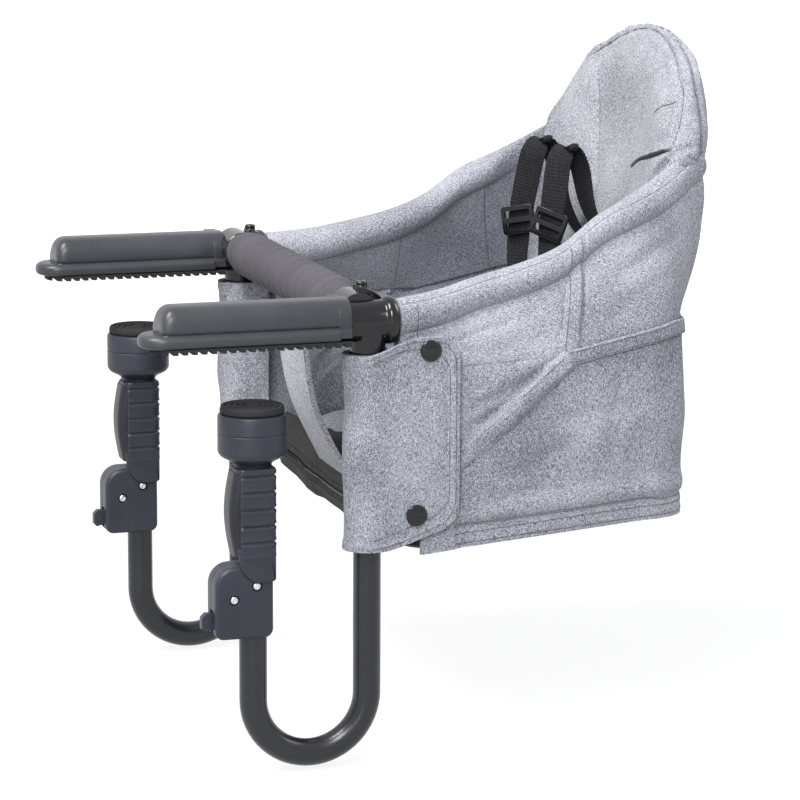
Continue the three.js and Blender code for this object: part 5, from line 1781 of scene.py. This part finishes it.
@dataclass(frozen=True)
class SeatInside:
    """Pan, cushion, pouch below it, panel between the legs, and rear lining."""

    base: float = -125.7
    height: float = 20.0
    pan_half: float = 173.0
    pan_front: float = 52.0
    pan_rear: float = 258.0
    cushion_rear: float = 236.0
    pouch_box: Box = (-151.0, 151.0, 43.0, 206.0)
    pouch_top: float = -131.3
    pouch_rise: float = 20.0
    pouch_low: float = -143.0
    pouch_sag: float = 12.5
    zip_half: float = 128.0
    lining_half: float = 136.0
    lining_front: float = 238.2
    lining_rear: float = 256.5
    lining_turn: float = 16.5
    crotch_half: float = 35.0
    crotch_slim: float = 3.5
    crotch_keys: tuple[Triple, ...] = ((0, 12, 3.1), (0, 13, -30), (0, 22, -75), (0, 49.6, -131))
    cushion_levels: Profile = ((0.93, 0.02), (0.975, 0.12), (0.99, 0.32), (0.97, 0.58), (0.9, 0.78), (0.72, 0.9),
                               (0.4, 0.96))
    pouch_levels: Profile = ((0.985, -0.1), (0.995, 0.0), (1.0, 0.2), (1.0, 0.45), (1.01, 0.7), (0.99, 0.88),
                             (0.93, 0.98), (0.6, 1.0))
    lining_profile: Profile = ((0, -124), (-0.6, -108), (-1.4, -88), (-1.8, -68), (-1.2, -50), (0, -39), (0.18, -31),
                               (0.5, -26.5), (1, -25))

    def build(self) -> None:
        """Make the soft pieces; the pan keeps its solid."""
        paint_node("seat_pan", MOULDING)
        self.cushion()
        self.pouch()
        self.crotch()
        self.lining()

    def outline(self, margin: float) -> Array:
        """Pan's outline in plan, moved inwards."""
        half, corner = self.pan_half - margin, 41.0 - margin / 2
        return rounded(-half, half, self.pan_front + margin, self.pan_rear - margin, (14, corner, corner, 14), 12)

    def cushion(self) -> None:
        """Stuffed cushion with a crown, sides drawn in and a piped edge."""
        outline = self.outline(16.0)
        centre = np.array([0.0, 150.0])
        rings = []
        for share, rise in self.cushion_levels:
            flat = centre + (outline - centre) * share
            flat[:, 1] = np.minimum(flat[:, 1], self.cushion_rear)
            rings.append(np.column_stack([flat, np.full(len(flat), self.base + rise * self.height)]))
        pad = solid("cushion", loft(rings), FABRIC)
        stuffed(pad, 5.0, 4.0, 3.0)
        points = mesh_points(pad)
        points[:, 2] = np.clip(points[:, 2], self.base, self.base + self.height - 0.6)
        set_points(pad, points)
        fine(pad)
        seat(pad, "frame", "seat_cushion")

    def pouch(self) -> None:
        """Dark pouch under the pan: its front wall rises before the pan, sags, and has a zip."""
        outline = rounded(*self.pouch_box, (18, 30, 30, 18), 12)
        outline = even(np.vstack([outline, outline[:1]]), 5.0)[:-1]
        centre = np.array([0.0, 128.0])
        rings = []
        for share, drop in self.pouch_levels:
            flat = centre + (outline - centre) * share
            front = smooth(80, 46, flat[:, 1])
            top = self.pouch_top + self.pouch_rise * front
            low = self.pouch_low - self.pouch_sag * smooth(150, 60, flat[:, 1])
            low = low + 5.0 * front * smooth(60, 150, np.abs(flat[:, 0]))
            z = top + (low - top) * drop
            places = np.column_stack([flat, z])
            loose = 0.1 + 0.9 * smooth(36, 62, np.abs(flat[:, 0]))
            flat[:, 1] -= front * drop * loose * (1.8 + 2.4 * ruffle(places * (1, 0, 0.5), 30, 6.0))
            z = z + 1.6 * max(drop, 0) * ruffle(places, 26, 4.0)
            rings.append(np.column_stack([flat, z]))
        bag = solid("pouch", loft(rings), LINING)
        seat(bag, "frame", "stow_pouch")
        draper = Draper(bag)
        run = np.array([(x, 30.0, -131.0 - 5.0 * math.cos(x / 70))
                        for x in np.linspace(-self.zip_half, self.zip_half, 110)])
        teeth = [circle(1.5 if i % 2 else 1.0, 8) for i in range(2)]
        line = even(draper.laid(run, 0.4), 1.3)
        seat(solid("zip", swept(line, lambda i: teeth[i % 2], (0, 0, 1)), GLOSS), "frame")
        tapes = [draper.laid(run + (0, 0, off), 0.0) for off in (-5.0, 5.0)]
        seat(thread("zip_stitches", tapes, 0.6, WEBBING), "frame")

    def lining(self) -> None:
        """Inner cloth before the rear wall, over the pan's hinge posts."""
        profile = np.array(self.lining_profile)
        rings = []
        for x in np.linspace(-self.lining_half, self.lining_half, 110):
            base = self.lining_front + self.lining_turn * smooth(120, self.lining_half, abs(x))
            deep = np.where(profile[:, 0] > 0, profile[:, 0] * (self.lining_rear - base), profile[:, 0])
            front = np.column_stack([np.full(len(profile), x), base + deep, profile[:, 1]])
            front[1:-2, 1] += 1.3 * ruffle(front[1:-2], 38, 7.0)
            behind = front + (0, 1.8, -1.2)
            rings.append(np.vstack([front, behind[::-1]]))
        cloth = solid("rear_lining", loft(rings), FABRIC)
        seat(cloth, "frame")
        edge = even(np.array([ring[5] - (0, 0.2, 0) for ring in rings]), 2.0)
        seat(thread("lining_stitches", [edge], 0.36, THREAD_AND_SEAM_SHADE), "frame")

    def crotch(self) -> None:
        """Panel from the crossbar down to the pan, bound at its edges."""
        path = even(spline(self.crotch_keys, 60), 3.0)
        width = np.linspace(0, 1, 30)

        def section(i: int) -> Array:
            """Lens with bound edges, narrower in the middle of its length.

            Args:
                i: Number of the place along the panel.

            Returns:
                Points round the section.
            """
            share = i / (len(path) - 1)
            half = self.crotch_half - self.crotch_slim * math.sin(math.pi * share)
            u = half * (2 * width - 1)
            edge = half - np.abs(u)
            thick = 1.5 + 0.5 * smooth(0, 12, edge) + 0.45 * smooth(5, 4, edge)
            return np.vstack([np.column_stack([u, -thick]), np.column_stack([u[::-1], thick[::-1]])])

        panel = solid("crotch_cloth", swept(path, section, (1, 0, 0)), FABRIC)
        seat(panel, "frame", "crotch_panel")


@dataclass(frozen=True)
class FoldingBack:
    """Padded back on its hoop."""

    half: float = 127.0
    bottom: float = 6.0
    height: float = 190.0
    lean: float = 39.0
    rear: float = 262.0
    edge: float = 10.0
    crown: float = 7.0
    side_swell: float = 10.0
    middle_height: float = 0.4316
    mouth: tuple[float, float] = (14.5, 39.5)
    mouth_z: float = 37.2
    tail_half: float = 104.0
    tail_y: float = 252.3
    tail_box: Box = (-11.0, 17.0, -1.6, 1.6)
    edge_seam: Profile = ((0, 193), (26, 190), (68, 176), (99.5, 158), (113, 138.5), (118.5, 121), (117.5, 106),
                          (110, 92))
    channel: Profile = ((-25, 30), (-28, 68), (-38, 100), (-52, 140), (-67, 178))
    open_slot: Profile = ((39, 95.3), (60, 103.4), (84.6, 108.9), (104, 113), (117.5, 116.7))
    closed_slot: Profile = ((77, 139.2), (90, 145.6), (102.5, 149.4))
    lean_at: Profile = ((-0.0842, 0), (0.0474, 0.205), (0.2158, 0.436), (0.4158, 0.667), (0.6579, 0.897), (0.8632, 1),
                        (1.0211, 1))
    sides: Profile = ((0, 0), (0.26, 0), (0.52, 0), (0.78, 0), (0.99, 0), (1.04, 0.006), (1.055, 0.03), (1.055, 0.1),
                      (1.055, 0.18), (1.05, 0.26), (1.05, 0.34), (1.06, 0.43))
    arch: Profile = ((1.07, 0.5), (1.07, 0.6), (1.03, 0.655), (0.93, 0.765), (0.8, 0.872), (0.57, 0.96), (0.27, 1.02),
                     (0, 1.04))

    def build(self) -> None:
        """Make the pad and its seams; hoop and pins keep their solids."""
        pad = solid("back_cushion", self.shell(), FABRIC)
        stuffed(pad, 5.0, 4.0, 6.0)
        fine(pad, 2)
        self.pull_in(pad)
        seat(pad, "back", "back_pad")
        self.sew(pad)
        paint_node("back_hoop", PAINT)
        for side in Side:
            paint_node(f"back_pin_{side}", ZINC)

    def z(self, share: float) -> float:
        """Height at a share of the back's height."""
        return self.bottom + self.height * share

    def middle(self, x: Array, z: Array) -> Array:
        """Middle surface of the back, as y over x and z.

        Args:
            x: Distances from the middle plane.
            z: Heights.

        Returns:
            The places' y.
        """
        curve = spline([(self.z(share), lean * self.lean + self.rear) for share, lean in self.lean_at], 120)
        rear = np.interp(z, curve[:, 0], curve[:, 1])
        bend = 0.0004 + 0.0013 * smooth(0, 110, z)
        return rear - self.edge / 2 - self.crown - bend * x * x

    def outline(self) -> Array:
        """Outline in front view.

        Returns:
            Points round it, as x and z.
        """
        right = np.vstack([self.sides, spline(self.arch, 38)]) * (self.half, self.height) + (0, self.bottom)
        left = right[1:-1][::-1] * (-1, 1)
        return np.vstack([right, left])

    def shell(self) -> Surface:
        """Closed crowned form with thick round sides, a little smaller than the stuffed one.

        Returns:
            Vertices and faces.
        """
        outline, centre = self.outline(), np.array([0.0, self.z(self.middle_height)])
        steps = [(share, 1.0) for share in (0.12, 0.3, 0.48, 0.64, 0.78)]
        steps += [(0.88 + 0.105 * math.sin(t), math.cos(t)) for t in np.radians([0, 18, 36, 52, 66, 78])]

        def face(share: float, bulge: float, way: int) -> Array:
            """One ring of the front or the rear face.

            Args:
                share: Share of the outline's size.
                bulge: Share of the thickness.
                way: -1 for the front and 1 for the rear.

            Returns:
                Points of the ring.
            """
            flat = centre + (outline - centre) * share
            front = self.edge / 2 + self.crown * (1 - share**6)
            x, z = flat.T
            across = smooth(0.24, 0.8, np.abs(x) / self.half) * smooth(0, 0.3, (z - self.bottom) / self.height)
            across = across * (1 - 0.6 * smooth(125, 178, z)) * (1 + 0.4 * ridge(z - 108, 30))
            rear = front + self.side_swell * across * share**2
            y = self.middle(x, z) + (rear - front) / 2 + way * (rear + front) / 2 * bulge
            return np.column_stack([x, y, z])

        return loft([face(*step, -1) for step in steps] + [face(*step, 1) for step in steps[::-1]])

    def pull_in(self, pad: Piece) -> None:
        """Draw the sewn lines into the pad, and let the cloth ripple a little between them.

        Args:
            pad: Pad that is changed.
        """
        points, normals = mesh_points(pad), read(pad.data.vertices, "normal")
        move = 0.9 * ruffle(points, 34, 9.0) + 0.4 * ruffle(points, 14, 1.0)
        for line, deep in zip(self.lines(pad), (2.6, 0.0, 0.0), strict=True):
            gap = np.min(np.linalg.norm(points[:, None, :] - line[None, ::2, :], axis=2), axis=1)
            move += 0.7 * ridge(gap - 6.0, 3.0) - 2.4 * ridge(gap, 2.6) - deep * ridge(gap, 8.0)
        off, along = line_distance(points[:, 0], points[:, 2], (84, 74), (136, 126))
        fold = smooth(-0.1, 0.2, along) * smooth(1.2, 0.8, along) * smooth(0.5, -0.1, normals[:, 1])
        move -= 2.6 * fold * ridge(off, 3.0)
        set_points(pad, points + normals * move[:, None])

    def lines(self, pad: Piece) -> list[Array]:
        """Places of the sewn lines: the far channel, and round the front and the rear edge.

        Args:
            pad: Pad that carries them.

        Returns:
            The lines.
        """
        draper = Draper(pad)
        half = spline(self.edge_seam, 90)
        front = np.vstack([half[::-1] * (-1, 1), half[1:]])
        centre = np.array([0.0, self.z(self.middle_height)])
        rear = centre + (self.outline()[10:-9] - centre) * 0.93
        lines = [draper.cast(even(flat, 2.0)) for flat in (spline(self.channel, 90), front)]
        lines.append(draper.cast(even(rear, 2.0), BEHIND))
        return [eased(line, 12) for line in lines]

    def sew(self, pad: Piece) -> None:
        """Thread along the sewn lines, a thick dark cord as painted shadow in the far channel, and the strap slots and
        mouths with dark cords as painted shade.

        Args:
            pad: Pad that carries them.
        """
        draper = Draper(pad)
        lines = self.lines(pad)
        seat(thread("back_stitches", lines[1:], 0.5, THREAD_AND_SEAM_SHADE), "back")
        # Thick dark cord at the bottom of the far channel: painted shadow of the channel's crease.
        seat(thread("channel_stitches", lines[:1], 0.9, THREAD_AND_SEAM_SHADE), "back")
        self.slot(draper)
        self.tail()
        # Dark lining cords where the shoulder straps enter the pad: painted shade inside the openings.
        for side in Side:
            mouth = draper.cast(np.array([(x * side.value, self.mouth_z) for x in np.linspace(*self.mouth, 30)]))
            seat(solid(f"strap_mouth_{side}", swept(mouth, lambda i: circle(1.7, 8), (0, 0, 1)), LINING), "back")

    def slot(self, draper: Draper) -> None:
        """Dark tube in the front face on the sitter's left, as painted shade inside the slot's opening, and the closed
        slot above it.

        Args:
            draper: Draper of the pad.
        """
        line = draper.cast(spline(self.open_slot, 70))
        share = np.linspace(0, 1, len(line))
        thick = 0.25 + 1.55 * smooth(0, 0.75, share) * smooth(1, 0.88, share)
        # The near-black lining tube is painted shade: it stands for the shadow inside the open slot.
        seat(solid("slot", swept(line, lambda i: circle(thick[i], 8), (0, 0, 1)), LINING), "back")
        seat(thread("slot_lip", [line + (0, -0.3, 2.1)], 0.8, FABRIC), "back")
        line = draper.cast(spline(self.closed_slot, 40))
        seat(thread("closed_slot", [line], 0.55, THREAD_AND_SEAM_SHADE), "back")

    def tail(self) -> None:
        """Cloth edge that hangs from the pad and shuts the gap over the rear wall."""
        section = rounded(*self.tail_box, 1.4, 4)
        rings = []
        for x in np.linspace(-self.tail_half, self.tail_half, 84):
            ring = np.column_stack([np.full(len(section), x), self.tail_y + section[:, 1], section[:, 0]])
            ring[:, 1] += 0.5 * ruffle(ring, 24, 12.0)
            rings.append(ring)
        cloth = solid("back_tail", loft(rings), FABRIC)
        seat(cloth, "back")


# Harness


@dataclass(frozen=True)
class Harness:
    """Ribbed webbing with sliders and a buckle."""

    width: float = 20.0
    thick: float = 1.6
    rib: float = 2.4
    twist: float = math.radians(46)
    slider_half: float = 10.6
    slider_reach: float = 13.0
    slider_roll: float = 14.0
    slider_lift: float = -3.1
    keeper: Box = (-13.5, 13.5, -2.3, 2.3)
    buckle_box: Box = (-87.0, -53.0, -24.0, 24.0)
    dish_box: Box = (-79.0, -61.0, -12.0, 12.0)
    button_box: Box = (-77.6, -62.4, -10.6, 10.6)
    crotch_keys: tuple[Triple, ...] = ((0, 196, -105.3), (0, 193, -96), (0, 196, -87.8))
    sliders: tuple[tuple[Side, Triple], ...] = (
        (Side.LEFT, (30.0, 199.0, 55.0)), (Side.RIGHT, (-36.0, 199.0, 50.0)))
    waist_keys: tuple[Triple, ...] = (
        (159.9, 244.9, -90), (100, 214, -86), (55, 199, -75), (34, 196, -70), (24.8, 196, -70))

    def build(self) -> None:
        """Make straps, sliders and buckle."""
        for side, slider in self.sliders:
            self.shoulder(side, slider)
            path = side.mirror(spline(self.waist_keys, 120))
            seat(self.strap(f"waist_web_{side}", path, (0, 0, 1)), "frame", f"waist_strap_{side}")
        seat(self.strap("crotch_web", spline(self.crotch_keys, 30), (1, 0, 0)), "frame", "crotch_strap")
        self.buckle()

    def strap(self, name: str, path: Array, across: Triple, twist: float = 0.0) -> Piece:
        """Webbing along a path, with ribs across it.

        Args:
            name: Name of the piece.
            path: Places along it.
            across: Direction of its width.
            twist: Turn about the vertical in the middle of its length, in radians.

        Returns:
            The piece.
        """
        turn = twist * np.sin(np.linspace(0, math.pi, len(path))) ** 2
        run = even(np.column_stack([path, turn]), self.rib / 3)
        flat = np.array([[math.cos(t), math.sin(t), 0.0] for t in run[:, 3]]) if twist else across
        section = rounded(-self.width / 2, self.width / 2, -self.thick / 2, self.thick / 2, 0.55, 3)
        ribs = [section * (0.97, 0.6), section, section]
        return solid(name, swept(run[:, :3], lambda i: ribs[i % 3], flat), WEBBING)

    def bend(self, piece: Piece) -> None:
        """Fix the piece's placement in its mesh and log it; it is put on no body."""
        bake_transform(piece)
        log.info("piece %s between frame and back", piece.name)

    def shoulder(self, side: Side, slider: Triple) -> None:
        """Shoulder strap from the back, over its loop and through a slider, to the buckle.

        Args:
            side: Side that is made.
            slider: Where its slider sits.
        """
        s, (x, y, z) = side.value, slider
        keys = [(27 * s, 262, 26), (27 * s, 243.5, 39.5), (27 * s, 229, 66), (26.5 * s, 222, 96),
                (26.5 * s, 213.5, 109), (27 * s, 206, 101), (0.5 * (x + 27 * s), 202.5, 80), (x, y, z), (x, 197, 15),
                (0.7 * x, 197, -20), (12 * s, 196, -42.2), (12 * s, 196, -52.2)]
        path = spline(keys, 201)
        web = self.strap(f"shoulder_web_{side}", path, (1, 0, 0), self.twist)
        self.bend(web)
        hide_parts(f"shoulder_strap_{side}")
        top = int(np.argmax(path[:, 2]))
        loop = rounded(*self.keeper, 1.6, 4)
        turn = self.twist * math.sin(math.pi * top / (len(path) - 1)) ** 2
        flat = (math.cos(turn), math.sin(turn), 0.0)
        around = swept(even(path[top - 3:top + 6], 1.0), lambda i: loop, flat)
        self.bend(solid(f"keeper_{side}", around, GLOSS))
        at = int(np.argmin(np.linalg.norm(path - np.array(slider), axis=1)))
        step = path[at + 12] - path[at - 12]
        self.slider(side, slider, math.atan2(step[1], -step[2]))

    def slider(self, side: Side, at: Triple, tilt: float) -> None:
        """Three-bar slider on a strap.

        Args:
            side: Side of the strap.
            at: Place on the strap.
            tilt: Lean of the strap there.
        """
        outline = rounded(-self.slider_half, self.slider_half, -self.slider_reach, self.slider_reach, 2.2, 4)
        piece = solid(f"slider_{side}", plate(outline, Axis.Y, -1.5, 1.5, (0.6, 0.6)), GLOSS)
        for z in (-4.5, 4.5):
            window = rounded(z - 2.6, z + 2.6, -10.2, 10.2, 0.8, 3)
            combine(piece, "DIFFERENCE", plate(window, Axis.Y, -4, 4, (0.1, 0.1)))
        roll = math.radians(self.slider_roll * side.value)
        turn = Matrix.Rotation(tilt, 4, "X") @ Matrix.Rotation(self.twist, 4, "Z") @ Matrix.Rotation(roll, 4, "Y")
        lift = Matrix.Translation((0, self.slider_lift * MM, 0))
        piece.data.transform(Matrix.Translation(Vector(at) * MM) @ turn @ lift)
        seat(piece, "back", f"strap_slider_{side}")

    def buckle(self) -> None:
        """Buckle with a sunk press button."""
        body = solid("buckle", plate(rounded(*self.buckle_box, 8, 8), Axis.Y, 190, 202, (2.4, 1.6)), GLOSS)
        combine(body, "DIFFERENCE", plate(rounded(*self.dish_box, 5, 6), Axis.Y, 186, 191.2, (0.4, 0.4)))
        combine(body, "UNION", plate(rounded(*self.button_box, 4, 6), Axis.Y, 189.8, 192, (0.9, 0.3)))
        seat(body, "frame", "harness_buckle")


def main() -> None:
    """Build the scene, piece by piece."""
    Studio().build()
    for part in (Tubes(), ArmPads(), Corners(), Clamps(), SeatInside(), Skirt(), Wings(), Flaps(), FoldingBack(),
                 Harness()):
        log.info("building %s", type(part).__name__)
        part.build()


if __name__ == "__main__":
    main()
